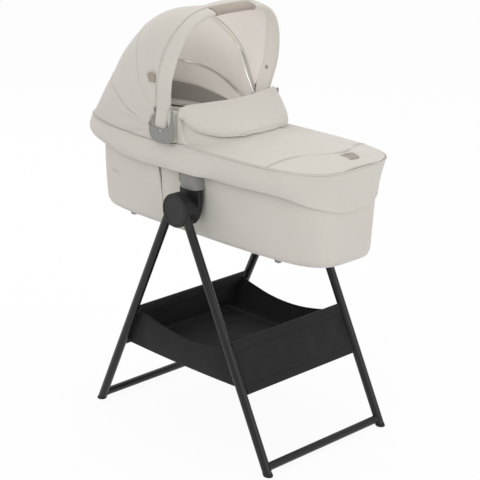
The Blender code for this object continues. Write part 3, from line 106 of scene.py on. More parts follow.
# Carrycot sizes, as the solids have them, and how far the rim's skirt bulges
COT_HEAD, COT_FOOT = 0.487, 0.402
SEAM_HEIGHT, SEAM_HEAD_DIP, RIM_HALF = HUB_HEIGHT + 0.146, 0.009, 0.164
RIM_HEAD_SQUARE, RIM_FOOT_SQUARE = 2.75, 4.1
HEM_HEIGHT, HEM_HEAD_DIP, HEM_FOOT_DIP, HEM_ROLL = HUB_HEIGHT + 0.089, 0.009, 0.033, 0.0026
HEM_OFF_ENDS, HEM_OFF_SIDES, HEM_OFF_RECEIVER, HEM_ARCH = 0.004, 0.018, 0.0146, 0.019
BULGE_SIDE, BULGE_HEAD, BULGE_FOOT = 0.007, 0.020, -0.003
TUB_BOTTOM, TUB_TOP = HUB_HEIGHT - 0.089, SEAM_HEIGHT - 0.0084
TUB_BASE = (COT_HEAD - 0.0734, COT_FOOT - 0.0217, 0.1257, 4.6)
TUB_MOUTH = (COT_HEAD - 0.046, COT_FOOT - 0.0165, 0.1500, 2.8)
TUB_FOOT_SQUARE, TUB_ROUNDING, TUB_WALL, LINING_LOW = 4.0, 0.020, 0.006, 0.506

# The tub's side seams: head end and height of the level one, place and ends of the upright one
SEAM_HEAD, SEAM_LEVEL, SEAM_X, SEAM_LOW, SEAM_TOP = -0.30, 0.604, -0.0845, 0.520, 0.672

# Receivers: half their length, where their backs lie, the lip's width, and (inset, height) up their sides
RECEIVER_HALF, RECEIVER_BACK, RECEIVER_LIP = 0.034, 0.135, 0.0026
RECEIVER_PROFILE = (
    (RECEIVER_LIP, 0.030), (RECEIVER_LIP, 0.0008), (0.0016, 0.0), (0.0006, 0.0003), (0.0, 0.0012),
    (0.0, 0.014), (0.0, 0.028), (0.0, 0.042), (0.006, 0.058),
)

# Cloth between a hood joint and the apron: its corners (x, y) on the right side, and its heights
GUSSET_CORNERS = ((-0.020, -0.1725), (-0.008, -0.1665), (0.0035, -0.1605))
GUSSET_LOW, GUSSET_HIGH = 0.739, 0.818

# Apron, its seam as places (x, y) from the fold axis, and its patch
APRON_CLOTH, APRON_CROWN, APRON_HEAD_CROWN, APRON_HEAD_BOW = 0.003, 0.020, 0.0865, 0.038
APRON_RAMP, APRON_RAMP_HALF = 0.105, 0.152
APRON_SEAM = (
    (0.2555, -0.1550), (0.2572, -0.1473), (0.2609, -0.1264), (0.2661, -0.1114), (0.2716, -0.0976),
    (0.2789, -0.0823), (0.2872, -0.0679), (0.3087, -0.0476), (0.3305, -0.0263), (0.3371, 0.0055),
    (0.3320, 0.0439), (0.3060, 0.0861), (0.2690, 0.1527), (0.2670, 0.1560),
)
PATCH_PLACE, PATCH_HALF, PATCH_LIFT = (0.3600, 0.003), (0.0128, 0.027), 0.0014

# Wind flap: its lift off the apron, filling and clearance, its reach across, and points down a face
FLAP_LIFT, FLAP_THICK, FLAP_CLEAR, WIDEST, FLAP_STEPS = 0.0032, 0.0085, 0.0012, 0.9995, 24

# Mattress: how far its side is pulled in at shares of its height
MATTRESS_EDGE = (
    (0, 0.010), (0.06, 0.005), (0.15, 0.0025), (0.35, 0.001), (0.6, 0.001), (0.85, 0.0035),
    (0.95, 0.007), (1.0, 0.013),
)

# Hood sizes; a rib has its lean in degrees, its reach, and how far its cloth's ends droop in degrees
HOOD_HALF, HOOD_TUCK, DROOP_RISE = 0.187, 0.014, 0.200
MIDDLE_RIB, REAR_RIB = (30.0, 0.279, 5.0), (69.0, 0.284, 13.0)
BOW_ANGLE, BOW_REACH, BOW_THICK, BOW_END, GRIP_SPREAD = -12.8, 0.295, 0.014, 0.0165, 18.9
BOW_PIVOT_WIDTH, BOW_SIDE_WIDTH, BOW_TOP_WIDTH = 0.042, 0.048, 0.034
RIB_SQUARE, BOW_SQUARE, BOW_SECTION_SQUARE = 3.1, 3.6, 3.0
PANEL_SPREAD, HEM_SPREAD = 80.5, 76.0
HOOD_ANGLES = np.linspace(-PANEL_SPREAD, PANEL_SPREAD, 97)
LINING_DEPTH, WINDOW_TOP, WINDOW_LOW = 0.0072, 0.42, 0.88
CHANNEL_HALF, CHANNEL_RISE, ZIP_HALF = 0.0036, 0.0034, 0.0032
TAG_START, TAG_END, TAG_RISE, TAG_HEIGHT, TAG_LIFT = 0.01, 0.43, 0.1255, 0.021, 0.0022

# Point of a bow section along which the grip's seam runs
GRIP_SEAM = 27

# Radius of the ring round a hub's cover, and how far out it lies
HUB_FACE = (0.0354, 0.2106)

# Stand sizes
FOOT_REACH, LEG_SETBACK = 0.311, 0.0243
LEG_SLOPE = (FOOT_REACH - LEG_SETBACK) / HUB_HEIGHT
LEG_HALF, LEG_RADIUS = 0.2005, 0.011
BAR_HEIGHT, BAR_RADIUS, WELD_RADIUS, WELD_GAP = 0.018, 0.010, 0.0012, 0.0003

# Basket sizes, its cloth's sags and creases, and rows of an end panel: face, hems and bound edge
BASKET_HALF, BASKET_END_HALF, ROD_SLEEVE = 0.180, 0.1886, 0.0059
BASKET_LOW, BASKET_HIGH = 0.176 + ROD_SLEEVE, 0.296 - ROD_SLEEVE
BASKET_EDGE_LOW, BASKET_EDGE_HIGH, BASKET_STITCH_LIFT = 0.1825, 0.2835, 0.0003
BASKET_SAG, BASKET_BELLY, BASKET_HOLLOW, BASKET_DIP, BASKET_CREASE = 0.0305, 0.004, 0.0035, 0.006, 0.0016
BASKET_FACE, BASKET_HEM_ROWS, BASKET_BOUND_ROWS = slice(14, 29), (16, 27), slice(13, 30)

# The photograph's camera: angles in degrees, distance in metres, lens and sensor in millimetres
CAMERA_AZIMUTH, CAMERA_ELEVATION, CAMERA_DISTANCE = 46.0818, 18.6692, 3.8822
CAMERA_SHIFT_RIGHT, CAMERA_SHIFT_UP, CAMERA_AIM = 0.00438, -0.09792, 0.57097
CAMERA_LENS, CAMERA_SENSOR = 117.84534, 36.0

# Studio lamps, from a point over the hub: towards the camera, to its right, up, and the lamp's width
AREA_LAMPS = {
    "key": (2.6, -2.0, 2.3, 2.2),
    "fill": (2.2, 3.0, 0.9, 2.6),
    "top": (-1.2, 0.0, 3.0, 2.4),
    "back": (-3.0, -1.0, 1.5, 2.4),
}
HOOD_LAMP_PLACE = (HUB_X - 0.12, 0, 0.885)


# Arithmetic on surfaces


def mix(a, b, share):
    return a + (b - a) * share


def ease(share):
    share = np.clip(share, 0, 1)
    return share * share * (3 - 2 * share)


def rounded(angle, squareness):
    """Radius of a unit rounded square at an angle."""
    return (np.abs(np.cos(angle)) ** squareness + np.abs(np.sin(angle)) ** squareness) ** (-1 / squareness)


def unit(vectors):
    length = np.linalg.norm(vectors, axis=-1, keepdims=True)
    return vectors / np.maximum(length, 1e-12)


def ripple(points, size, seed, waves=9):
    """A smooth uneven height from about -1 to 1, whose swells are about one size."""
    chance = np.random.default_rng(seed)
    runs = unit(chance.normal(size=(waves, 3))) * (2 * math.pi / size * chance.uniform(0.6, 1.6, (waves, 1)))
    phases = chance.uniform(0, 2 * math.pi, waves)
    return np.sin(points @ runs.T + phases).sum(-1) / math.sqrt(waves * 1.6)


def facing(rows, closed=False):
    """Normals of a surface given as rows of points."""
    down = np.gradient(rows, axis=0)
    if closed:
        along = np.roll(rows, -1, axis=1) - np.roll(rows, 1, axis=1)
    else:
        along = np.gradient(rows, axis=1)
    return unit(np.cross(along, down))


def outset(ring, distance):
    """A closed ring moved outwards in plan."""
    tangent = np.roll(ring, -1, axis=0) - np.roll(ring, 1, axis=0)
    outward = unit(np.stack([tangent[:, 1], -tangent[:, 0], np.zeros(len(ring))], -1))
    return ring + outward * np.reshape(distance, (-1, 1))


def at_height(ring, height):
    ring = ring.copy()
    ring[:, 2] = height
    return ring


# Mesh making


def put(target, **values):
    """Set several properties of a thing."""
    for key, value in values.items():
        setattr(target, key, value)
    return target


def linked(name, data):
    thing = bpy.data.objects.new(name, data)
    bpy.context.scene.collection.objects.link(thing)
    return thing


def keep(name, mesh, finish, body=None, slot=None):
    """Link a finished mesh as a piece that moves with a body."""
    thing = linked(name, mesh)
    if not mesh.materials:
        mesh.materials.append(finish)
    if body:
        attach(thing, body)
    return thing


def step_lengths(rows, axis):
    """Distances between neighbours, along the rows (axis 1) or down them (axis 0)."""
    return np.linalg.norm(np.diff(rows, axis=axis), axis=-1)


def joined(rows, closed):
    """Rows that come back to their first column where they are closed."""
    return np.concatenate([rows, rows[:, :1]], axis=1) if closed else rows


def surface(name, rows, closed=False, caps=False):
    """A smooth mesh through rows of points, with a UV map in metres along and across the rows."""
    count, width = rows.shape[:2]
    i, j = np.meshgrid(np.arange(count - 1), np.arange(width if closed else width - 1), indexing="ij")
    i, j = i.ravel(), j.ravel()
    k = (j + 1) % width
    faces = np.stack([i * width + j, i * width + k, (i + 1) * width + k, (i + 1) * width + j], -1).tolist()
    if caps:
        faces.append([(count - 1) * width + n for n in range(width)])
        faces.append(list(range(width - 1, -1, -1)))
    mesh = bpy.data.meshes.new(name)
    mesh.from_pydata(rows.reshape(-1, 3).tolist(), [], faces)
    across = np.concatenate([[0], np.cumsum(step_lengths(joined(rows, closed), 1).mean(0))])
    along = np.concatenate([[0], np.cumsum(step_lengths(rows, 0).mean(1))])
    uv = np.zeros((len(mesh.loops), 2))
    uv[: 4 * len(i), 0] = np.stack([across[j], across[j + 1], across[j + 1], across[j]], -1).ravel()
    uv[: 4 * len(i), 1] = np.stack([along[i], along[i], along[i + 1], along[i + 1]], -1).ravel()
    mesh.uv_layers.new(name="cloth").data.foreach_set("uv", uv.ravel())
    mesh.shade_smooth()
    return mesh


def thicken(thing, thickness):
    """Give a sheet its thickness, inwards from its face."""
    step = thing.modifiers.new("Thickness", "SOLIDIFY")
    put(step, thickness=thickness, offset=-1.0, use_even_offset=True)
    return thing


def finished(thing):
    """The object's evaluated mesh, as a plain mesh of its own."""
    bpy.context.view_layer.update()
    graph = bpy.context.evaluated_depsgraph_get()
    return bpy.data.meshes.new_from_object(thing.evaluated_get(graph), depsgraph=graph)


def settled(thing):
    """The piece with its modifiers made part of its mesh."""
    if thing.modifiers:
        mesh = finished(thing)
        thing.modifiers.clear()
        thing.data = mesh
    return thing


def points_of(mesh):
    points = np.empty(len(mesh.vertices) * 3)
    mesh.vertices.foreach_get("co", points)
    return points.reshape(-1, 3)


def hugging(line, thing):
    """A line laid against a finished piece."""
    laid = np.array([thing.closest_point_on_mesh(Vector(point))[1] for point in line])
    laid[1:-1] = (laid[:-2] + 2 * laid[1:-1] + laid[2:]) / 4
    return laid


def cloth_sheet(name, rows, finish, thickness, held, body=None, slot="cream_fabric", closed=False):
    """A sheet of cloth with its thickness. The size and area it was cut to are worked out, but nothing uses
    them.
    """
    thing = thicken(keep(name, surface(name, rows, closed), finish, body, slot), thickness)
    rows = joined(rows, closed)
    wide, long = float(step_lengths(rows, 1).sum(1).max()), float(step_lengths(rows, 0).sum(0).max())
    diagonals = rows[1:, 1:] - rows[:-1, :-1], rows[:-1, 1:] - rows[1:, :-1]
    area = float(np.linalg.norm(np.cross(*diagonals), axis=-1).sum() / 2)
    return thing


def capped(name, rows, finish, body, slot="cream_fabric"):
    """A closed piece through rings of points, with a cap at each end."""
    return keep(name, surface(name, rows, True, True), finish, body, slot)


def outwards(rows, side):
    """Rows of the right side as they are, and those of the left side turned to face out too."""
    return rows if side < 0 else rows[:, ::-1]


def puff(thing, cap, voxel, pressure):
    """Fill a padded piece: cloth swells under pressure, and no point moves further than the cap."""
    put(thing.modifiers.new("Voxels", "REMESH"), mode="VOXEL", voxel_size=voxel)
    mesh = settled(thing).data
    start = points_of(mesh)
    cloth = thing.modifiers.new("Cloth", "CLOTH")
    put(cloth.settings, quality=5, mass=0.3, use_pressure=True, uniform_pressure_force=pressure)
    cloth.settings.effector_weights.gravity = 0
    put(cloth.point_cache, frame_start=1, frame_end=PUFF_FRAMES)
    scene = bpy.context.scene
    for number in range(1, PUFF_FRAMES + 1):
        scene.frame_set(number)
    move = points_of(finished(thing)) - start
    thing.modifiers.clear()
    scene.frame_set(1)
    length = np.linalg.norm(move, axis=1, keepdims=True)
    move *= np.minimum(1, cap / np.maximum(length, 1e-9))
    mesh.vertices.foreach_set("co", (start + move).ravel())
    mesh.shade_smooth()
    put(thing.modifiers.new("Finer", "SUBSURF"), levels=1, render_levels=1)
    settled(thing)


def smoothed(node, finish, angle, edge=0.0):
    """A merged and smooth copy of a hard node, with a fine bevel on its edges, that stands for it."""
    source = frame["nodes"][node]
    net = bmesh.new()
    net.from_mesh(source.data)
    bmesh.ops.remove_doubles(net, verts=net.verts, dist=2e-5)
    bmesh.ops.dissolve_limit(net, angle_limit=math.radians(0.6), verts=net.verts, edges=net.edges)
    mesh = bpy.data.meshes.new(node + "_finish")
    net.to_mesh(mesh)
    net.free()
    mesh.shade_smooth()
    mesh.set_sharp_from_angle(angle=math.radians(angle))
    thing = keep(node + "_finish", mesh, finish, source.parent.name.split(":")[1])
    if edge:
        step = thing.modifiers.new("Bevel", "BEVEL")
        put(step, width=edge, segments=2, limit_method="ANGLE", angle_limit=math.radians(angle))
        step.harden_normals = True
    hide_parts(node)


# Sockets and node trees


class Socket:
    """An output of a node; arithmetic on it adds Math nodes."""

    def __init__(self, net, output):
        self.net = net
        self.output = output

    def __add__(self, other):
        return self.net.sum("ADD", self, other)

    def __radd__(self, other):
        return self.net.sum("ADD", other, self)

    def __sub__(self, other):
        return self.net.sum("SUBTRACT", self, other)

    def __rsub__(self, other):
        return self.net.sum("SUBTRACT", other, self)

    def __mul__(self, other):
        return self.net.sum("MULTIPLY", self, other)

    def __rmul__(self, other):
        return self.net.sum("MULTIPLY", other, self)


class Net:
    """A node tree that is built node by node."""

    def __init__(self, tree):
        self.tree = tree

    def node(self, kind, settings=None, *values, take=0, **named):
        """Add a node: its settings first, then numbers or sockets for its inputs."""
        made = put(self.tree.nodes.new(kind), **(settings or {}))
        for place, value in enumerate(values):
            self.feed(made.inputs[place], value)
        for key, value in named.items():
            self.feed(made.inputs[key.replace("_", " ")], value)
        return Socket(self, made.outputs[take])

    def feed(self, socket, value):
        if isinstance(value, Socket):
            self.tree.links.new(value.output, socket)
        elif value is not None:
            socket.default_value = value

    def sum(self, operation, *values):
        return self.node("ShaderNodeMath", {"operation": operation}, *values)

    def clamp(self, value):
        return self.node("ShaderNodeClamp", None, value)

    def noise(self, place, scale, detail=2.0, roughness=0.5):
        named = {"Vector": place, "Scale": scale, "Detail": detail, "Roughness": roughness}
        return self.node("ShaderNodeTexNoise", None, **named)

    def streaks(self, place, scales, detail=3.0, roughness=0.5):
        """Noise with a scale of its own along each axis."""
        stretched = self.node("ShaderNodeMapping", None, Vector=place, Scale=scales)
        return self.noise(stretched, 1.0, detail, roughness)

    def tones(self, share, colour, first, second):
        """A colour times one factor, mixed with the same colour times another."""
        made = self.tree.nodes.new("ShaderNodeMix")
        made.data_type = "RGBA"
        for place, value in ((0, share), (6, tone(colour, first)), (7, tone(colour, second))):
            self.feed(made.inputs[place], value)
        return Socket(self, made.outputs[2])

    def bump(self, height, distance, strength, under=None):
        named = {"Strength": strength, "Distance": distance, "Height": height, "Normal": under}
        return self.node("ShaderNodeBump", None, **named)

    def white_when_seen(self, shader, white, rays, share, end):
        """Mix a shader towards a white one for some kinds of ray, and feed the end of the tree."""
        path = self.tree.nodes.new("ShaderNodeLightPath")
        seen = Socket(self, path.outputs[rays[0]])
        for ray in rays[1:]:
            seen = self.sum("MAXIMUM", seen, Socket(self, path.outputs[ray]))
        mixed = self.node("ShaderNodeMixShader", None, seen * share, Socket(self, shader.outputs[0]), white)
        self.feed(self.tree.nodes[end].inputs["Surface"], mixed)


def srgb(*channels):
    """A colour from 0-255 screen values, as linear values."""
    shares = [channel / 255 for channel in channels]
    return tuple(s / 12.92 if s <= 0.04045 else ((s + 0.055) / 1.055) ** 2.4 for s in shares)


def tone(colour, factor):
    return tuple(channel * factor for channel in colour[:3]) + (1.0,)


FINISHES = {}


def material(recipe):
    """A function that makes a named material once, by a recipe that says what feeds its shader."""

    def build(name, *sizes, **named):
        if name not in FINISHES:
            made = put(bpy.data.materials.new(name), use_nodes=True)
            net = Net(made.node_tree)
            shader = made.node_tree.nodes["Principled BSDF"]
            place = net.node("ShaderNodeTexCoord", take=3)
            for label, value in recipe(net, place, *sizes, **named).items():
                net.feed(shader.inputs[label], value)
            made.diffuse_color = shader.inputs["Base Color"].default_value
            FINISHES[name] = made
        return FINISHES[name]

    return build


def weave_of(net, place, pitch):
    """Threads that cross, as a height from 0 to 1 that works on a surface of any slope."""
    scaled = net.node("ShaderNodeVectorMath", {"operation": "SCALE"}, place, Scale=2 * math.pi / pitch)
    parts = net.tree.nodes.new("ShaderNodeSeparateXYZ")
    net.feed(parts.inputs[0], scaled)
    x, y, z = (net.sum("SINE", Socket(net, output)) for output in parts.outputs)
    return (x * y + y * z + z * x) * 0.25 + 0.25


@material
def cloth(net, place, colour, deep=0.86, pitch=0.0016, slub=0.5, sheen=0.15, crease=0.0009):
    """Woven melange cloth: crossing threads, slubs both ways, soft creases and a slow change of tone."""
    weave = weave_of(net, place, pitch)
    level = net.streaks(place, (260, 260, 1300), roughness=0.6)
    upright = net.streaks(place, (1300, 1300, 240), roughness=0.6)
    slow = net.noise(place, 4.5)
    slubs = (level + upright - 1.0) * 1.6 * slub
    folds = net.bump(net.noise(place, 19.0, 4.0, 0.55), crease, 0.8)
    return {
        "Base Color": net.tones(
            net.clamp(slubs + (weave - 0.5) * 0.35 + (slow - 0.5) * 0.9 + 0.35), colour, 1.0, deep
        ),
        "Roughness": (slow - 0.5) * 0.12 + 0.88,
        "Normal": net.bump(weave + level * 0.7 + upright * 0.7, 0.00022, 0.9, folds),
        "Sheen Weight": sheen,
        "Sheen Roughness": 0.5,
        "Specular IOR Level": 0.25,
    }


@material
def netting(net, place, colour):
    """Fine warp-knit mesh that shows what lies behind it through its holes."""
    weave = weave_of(net, place, 0.0022)
    slow = net.noise(place, 9.0)
    return {
        "Base Color": net.tones(slow, colour, 0.9, 1.1),
        "Roughness": slow * 0.15 + 0.7,
        "Alpha": net.clamp((weave - 0.34) * 9.0) * 0.25 + 0.75,
        "Normal": net.bump(weave, 0.0003, 0.8),
    }


@material
def leatherette(net, place, colour):
    """Embossed leatherette: pebbled grain with fine creases and a slight polish on the high spots."""
    sway = net.node("ShaderNodeTexNoise", None, Vector=place, Scale=180.0, take=1)
    bent = net.node("ShaderNodeVectorMath", {"operation": "MULTIPLY_ADD"}, sway, (0.0016,) * 3, place)
    pebbles = net.node("ShaderNodeTexVoronoi", {"feature": "DISTANCE_TO_EDGE"}, Vector=bent, Scale=620.0)
    grain = net.clamp(pebbles * 3.4)
    fine = net.noise(place, 1500.0)
    slow = net.noise(place, 14.0, 3.0)
    return {
        "Base Color": net.tones(
            net.clamp((1.0 - grain) * 0.55 + (slow - 0.5) * 0.8 + 0.15), colour, 1.05, 0.72
        ),
        "Roughness": 0.62 - grain * 0.14 + (slow - 0.5) * 0.2,
        "Normal": net.bump(grain + fine * 0.25, 0.00035, 0.75),
        "Coat Weight": 0.08,
        "Coat Roughness": 0.4,
    }


@material
def moulded(net, place, colour, roughness=0.52, worn=1.5):
    """Moulded plastic: spark-eroded grain, faint flow marks, and corners rubbed paler."""
    spark = net.noise(place, 1900.0, 3.0, 0.65)
    flow = net.streaks(place, (9, 9, 30))
    edge = net.node("ShaderNodeNewGeometry", take=7)
    rubbed = net.clamp((edge - 0.52) * 9.0) * net.clamp((flow - 0.35) * 3.0)
    return {
        "Base Color": net.tones(rubbed * 0.5, colour, 1.0, worn),
        "Roughness": (flow - 0.5) * 0.16 + (spark - 0.5) * 0.12 + roughness,
        "Normal": net.bump(spark, 0.00006, 0.7),
        "Specular IOR Level": 0.45,
    }


@material
def painted(net, place, colour):
    """Powder-coated tube: orange-peel surface with fine scuffs along its run."""
    peel = net.noise(place, 420.0)
    scuff = net.streaks(place, (60, 60, 420), 5.0, 0.7)
    slow = net.noise(place, 7.0)
    rubbed = net.clamp((scuff - 0.66) * 9.0)
    return {
        "Base Color": net.tones(rubbed * 0.35, colour, 1.0, 2.4),
        "Roughness": rubbed * 0.15 + (slow - 0.5) * 0.12 + 0.34,
        "Normal": net.bump(peel, 0.00012, 0.5),
        "Specular IOR Level": 0.35,
    }


@material
def bright_steel(net, place, colour):
    """Zinc-plated steel with a fine drawn grain."""
    drawn = net.streaks(place, (900, 900, 90))
    return {
        "Base Color": net.tones(net.noise(place, 60.0, 3.0), colour, 0.85, 1.1),
        "Roughness": drawn * 0.25 + 0.2,
        "Normal": net.bump(drawn, 0.00003, 0.5),
        "Metallic": 1.0,
    }


@material
def rubbery(net, place, colour):
    """Matt rubber with a dusty bloom and a rough skin."""
    dust = net.noise(place, 30.0, 3.0)
    return {
        "Base Color": net.tones(dust, colour, 0.9, 1.5),
        "Roughness": dust * 0.15 + 0.78,
        "Normal": net.bump(net.noise(place, 900.0, 3.0), 0.0001, 0.6),
    }


# Geometry Nodes: piping, stitches and zip teeth along a path


def swept_ring(net, curve, given):
    """A welt or cord: a round section swept along the path."""
    ring = net.node("GeometryNodeCurvePrimitiveCircle", None, Resolution=8, Radius=given["Radius"])
    return net.node("GeometryNodeCurveToMesh", None, curve, ring, Fill_Caps=True)


def spaced(net, curve, step, axis):
    """Points at even steps along the path, and the turn that lays an axis along it."""
    points = net.node("GeometryNodeResampleCurve", {"mode": "LENGTH"}, curve, Length=step)
    tangent = net.node("GeometryNodeInputTangent")
    turn = net.node("FunctionNodeAlignRotationToVector", {"axis": axis}, Vector=tangent)
    return points, tangent, turn


def thread_stitches(net, curve, given):
    """Short stitches of thread, one after another along the path."""
    points, _, turn = spaced(net, curve, given["Stitch"] + given["Gap"], "Z")
    sizes = {"Vertices": 6, "Radius": given["Thread"], "Depth": given["Stitch"]}
    thread = net.node("GeometryNodeMeshCylinder", None, **sizes)
    return net.node("GeometryNodeInstanceOnPoints", None, points, Instance=thread, Rotation=turn)


def zip_teeth(net, curve, given):
    """Zip teeth: small blocks that sit on one side of the path and then on the other."""
    points, tangent, turn = spaced(net, curve, given["Pitch"], "X")
    normal = net.node("GeometryNodeInputNormal")
    aside = net.node("ShaderNodeVectorMath", {"operation": "CROSS_PRODUCT"}, tangent, normal)
    odd = net.sum("MODULO", net.node("GeometryNodeInputIndex"), 2.0)
    far = (odd - 0.5) * given["Width"] * 0.5
    shift = net.node("ShaderNodeVectorMath", {"operation": "SCALE"}, aside, Scale=far)
    moved = net.node("GeometryNodeSetPosition", None, points, Offset=shift)
    sizes = given["Pitch"] * 0.8, given["Width"] * 0.6, given["Width"] * 0.5
    tooth = net.node("GeometryNodeMeshCube", None, Size=net.node("ShaderNodeCombineXYZ", None, *sizes))
    return net.node("GeometryNodeInstanceOnPoints", None, moved, Instance=tooth, Rotation=turn)


RUNS = {
    "Piping": (swept_ring, {"Radius": SEAM_RADIUS}),
    "Stitches": (thread_stitches, {"Stitch": 0.003, "Gap": 0.0012, "Thread": THREAD_RADIUS}),
    "Zip teeth": (zip_teeth, {"Pitch": 0.002, "Width": 0.003}),
}


def path_tree(kind):
    """A tree that takes a path of edges, its sizes and a material, and gives what runs along the path."""
    name = kind + " along a path"
    if name in bpy.data.node_groups:
        return bpy.data.node_groups[name]
    build, sizes = RUNS[kind]
    tree = bpy.data.node_groups.new(name, "GeometryNodeTree")
    face = tree.interface
    face.new_socket("Path", in_out="INPUT", socket_type="NodeSocketGeometry")
    for label, default in sizes.items():
        socket = face.new_socket(label, in_out="INPUT", socket_type="NodeSocketFloat")
        socket.default_value = default
    face.new_socket("Finish", in_out="INPUT", socket_type="NodeSocketMaterial")
    face.new_socket("Made", in_out="OUTPUT", socket_type="NodeSocketGeometry")
    net = Net(tree)
    group = tree.nodes.new("NodeGroupInput")
    given = {output.name: Socket(net, output) for output in group.outputs if output.name}
    curve = net.node("GeometryNodeMeshToCurve", None, given["Path"])
    plain_mesh = net.node("GeometryNodeRealizeInstances", None, build(net, curve, given))
    dressed = net.node("GeometryNodeSetMaterial", None, plain_mesh, Material=given["Finish"])
    net.feed(tree.nodes.new("NodeGroupOutput").inputs[0], dressed)
    return tree


def run(name, kind, path, finish, body=None, closed=False, slot="cream_fabric", **sizes):
    """What a tree lays along one path, or along a list of several, as a piece of plain mesh."""
    points, edges = [], []
    for line in path if isinstance(path, list) else [path]:
        first = len(points)
        points += np.asarray(line).tolist()
        edges += [(first + n, first + n + 1) for n in range(len(line) - 1)]
        if closed:
            edges.append((len(points) - 1, first))
    base = bpy.data.meshes.new(name)
    base.from_pydata(points, edges, [])
    guide = linked(name + "_guide", base)
    tree = path_tree(kind)
    step = put(guide.modifiers.new("Run", "NODES"), node_group=tree)
    given = {"Finish": finish, **sizes}
    for item in tree.interface.items_tree:
        if item.in_out == "INPUT" and item.name in given:
            step[item.identifier] = given[item.name]
    mesh = finished(guide)
    bpy.data.objects.remove(guide, do_unlink=True)
    mesh.shade_smooth()
    return keep(name, mesh, finish, body, slot)


# Shapes of the carrycot and its stand, as the solids have them


def plan(head, foot, half, head_square, foot_square, height):
    """A closed outline round the carrycot, point by point from the foot tip."""
    even = np.arange(RING_POINTS) * 2 * math.pi / RING_POINTS
    angle = even + 0.1 * np.sin(4 * even)
    behind = np.cos(angle) < 0
    radius = rounded(angle, np.where(behind, head_square, foot_square))
    x = HUB_X + np.where(behind, head, foot) * radius * np.cos(angle)
    return np.stack([x, half * radius * np.sin(angle), np.broadcast_to(height, x.shape)], -1)


def tub_ring(height):
    """The tub's outer wall at one height, or at a height for each point."""
    share = np.clip((np.asarray(height, float) - TUB_BOTTOM) / (TUB_TOP - TUB_BOTTOM), 0, 1) ** 0.8
    sizes = [mix(low, high, share) for low, high in zip(TUB_BASE, TUB_MOUTH)]
    return plan(*sizes, TUB_FOOT_SQUARE, height)


def head_dip(x, depth):
    return depth * ease((HUB_X - 0.02 - x) / 0.08)


def seam_ring():
    """The rim's seam, where skirt, apron and hood meet."""
    ring = plan(COT_HEAD, COT_FOOT, RIM_HALF, RIM_HEAD_SQUARE, RIM_FOOT_SQUARE, SEAM_HEIGHT)
    ring[:, 2] -= head_dip(ring[:, 0], SEAM_HEAD_DIP)
    return ring


def foot_turn(x):
    return ease((x - HUB_X - COT_FOOT + 0.10) / 0.095)


def hem_ring():
    """The rim's lower edge, standing off the tub."""
    x, y, _ = seam_ring().T
    height = HEM_HEIGHT - head_dip(x, HEM_HEAD_DIP) - HEM_FOOT_DIP * foot_turn(x)
    middle = np.maximum(1 - (y / 0.13) ** 2, 0) ** 2
    height = height - foot_turn(x) * (HEM_ARCH * middle - 0.006)
    beside = 1 - np.maximum(foot_turn(x), ease((HUB_X - 0.20 - x) / 0.22))
    over = 1 - ease((np.abs(x - HUB_X) - RECEIVER_HALF - 0.004) / 0.05)
    stand_off = mix(HEM_OFF_ENDS, HEM_OFF_SIDES, beside) + HEM_OFF_RECEIVER * over
    return outset(tub_ring(height), stand_off + 0.003 - 0.002 * foot_turn(x))


def apron_half(x):
    """Half the apron's width at a place along it."""
    reach = np.where(x > 0, COT_FOOT - APRON_CLOTH, COT_HEAD)
    square = np.where(x > 0, RIM_FOOT_SQUARE, RIM_HEAD_SQUARE)
    share = np.minimum(np.abs(x) / reach, 1)
    return (RIM_HALF - APRON_CLOTH) * np.maximum(1 - share**square, 0) ** (1 / square)


def apron_head_edge(across):
    return -APRON_HEAD_BOW * across**2


def apron_ramp_end(across):
    spread = np.minimum(np.abs(across) * RIM_HALF / APRON_RAMP_HALF, 1)
    start = 0.010 - APRON_HEAD_BOW
    curved = start + (APRON_RAMP - start) * np.sqrt(1 - spread**2)
    return np.maximum(curved, apron_head_edge(across) + 0.006)


def apron_points(x, across, lift=0.0):
    """Points of the apron: x from the fold axis, across from -1 (right edge) to 1 (left edge)."""
    start, end = apron_head_edge(across), apron_ramp_end(across)
    straight = np.clip((x - start) / (end - start), 0, 1)
    ramp = mix(straight, ease((x - start) / (end + APRON_CROWN - start)), 0.45)
    fade = 1 - 0.8 * ease((x - COT_FOOT * 0.83) / (COT_FOOT * 0.17))
    edge = np.abs(across)
    head = APRON_HEAD_CROWN * np.maximum(1 - edge**16, 0) ** (1 / 16)
    low = APRON_CROWN * fade * (1 - edge**2.2)
    height = SEAM_HEIGHT + APRON_CLOTH + 0.0006 + mix(head, low, ramp) + lift
    return np.stack([HUB_X + x, (apron_half(x) + lift) * across, height], -1)


def arch(degrees, reach, angle, drop=0.0, square=RIB_SQUARE):
    """Points of a hoop that leans back from upright by some degrees; angle runs from -90 (right) to 90."""
    lean, round_it = np.radians(degrees), np.radians(angle)
    radius = rounded(round_it, square)
    rise = (reach - drop) * radius * np.cos(round_it)
    tuck = HOOD_TUCK * (1 - ease((rise - 0.035) / 0.110))
    out = (HOOD_HALF - tuck - drop) * radius * np.sin(round_it)
    return PIVOT + np.stack([-np.sin(lean) * rise, out, np.cos(lean) * rise], -1)


def rise_of(points):
    """How far points lie from the hood's pivot, seen from the side."""
    return np.hypot(points[..., 0] - PIVOT[0], points[..., 2] - PIVOT[2])


def backwards(degrees):
    """The way back from a hoop that leans by some degrees."""
    lean = np.radians(degrees)
    return np.stack([-np.cos(lean), np.zeros_like(lean), -np.sin(lean)], -1)


def bow_points(angle, drop=0.0):
    points = arch(BOW_ANGLE, BOW_REACH, angle, drop, BOW_SQUARE)
    share = np.minimum(rise_of(points) / BOW_REACH, 1)
    return points + backwards(BOW_ANGLE) * (0.0095 * (1 - share**3))[..., None]


def bow_width(points):
    rise = rise_of(points)
    low = mix(BOW_PIVOT_WIDTH, BOW_SIDE_WIDTH, ease(rise / 0.045))
    return mix(low, BOW_TOP_WIDTH, ease((rise - 0.160) / 0.115))


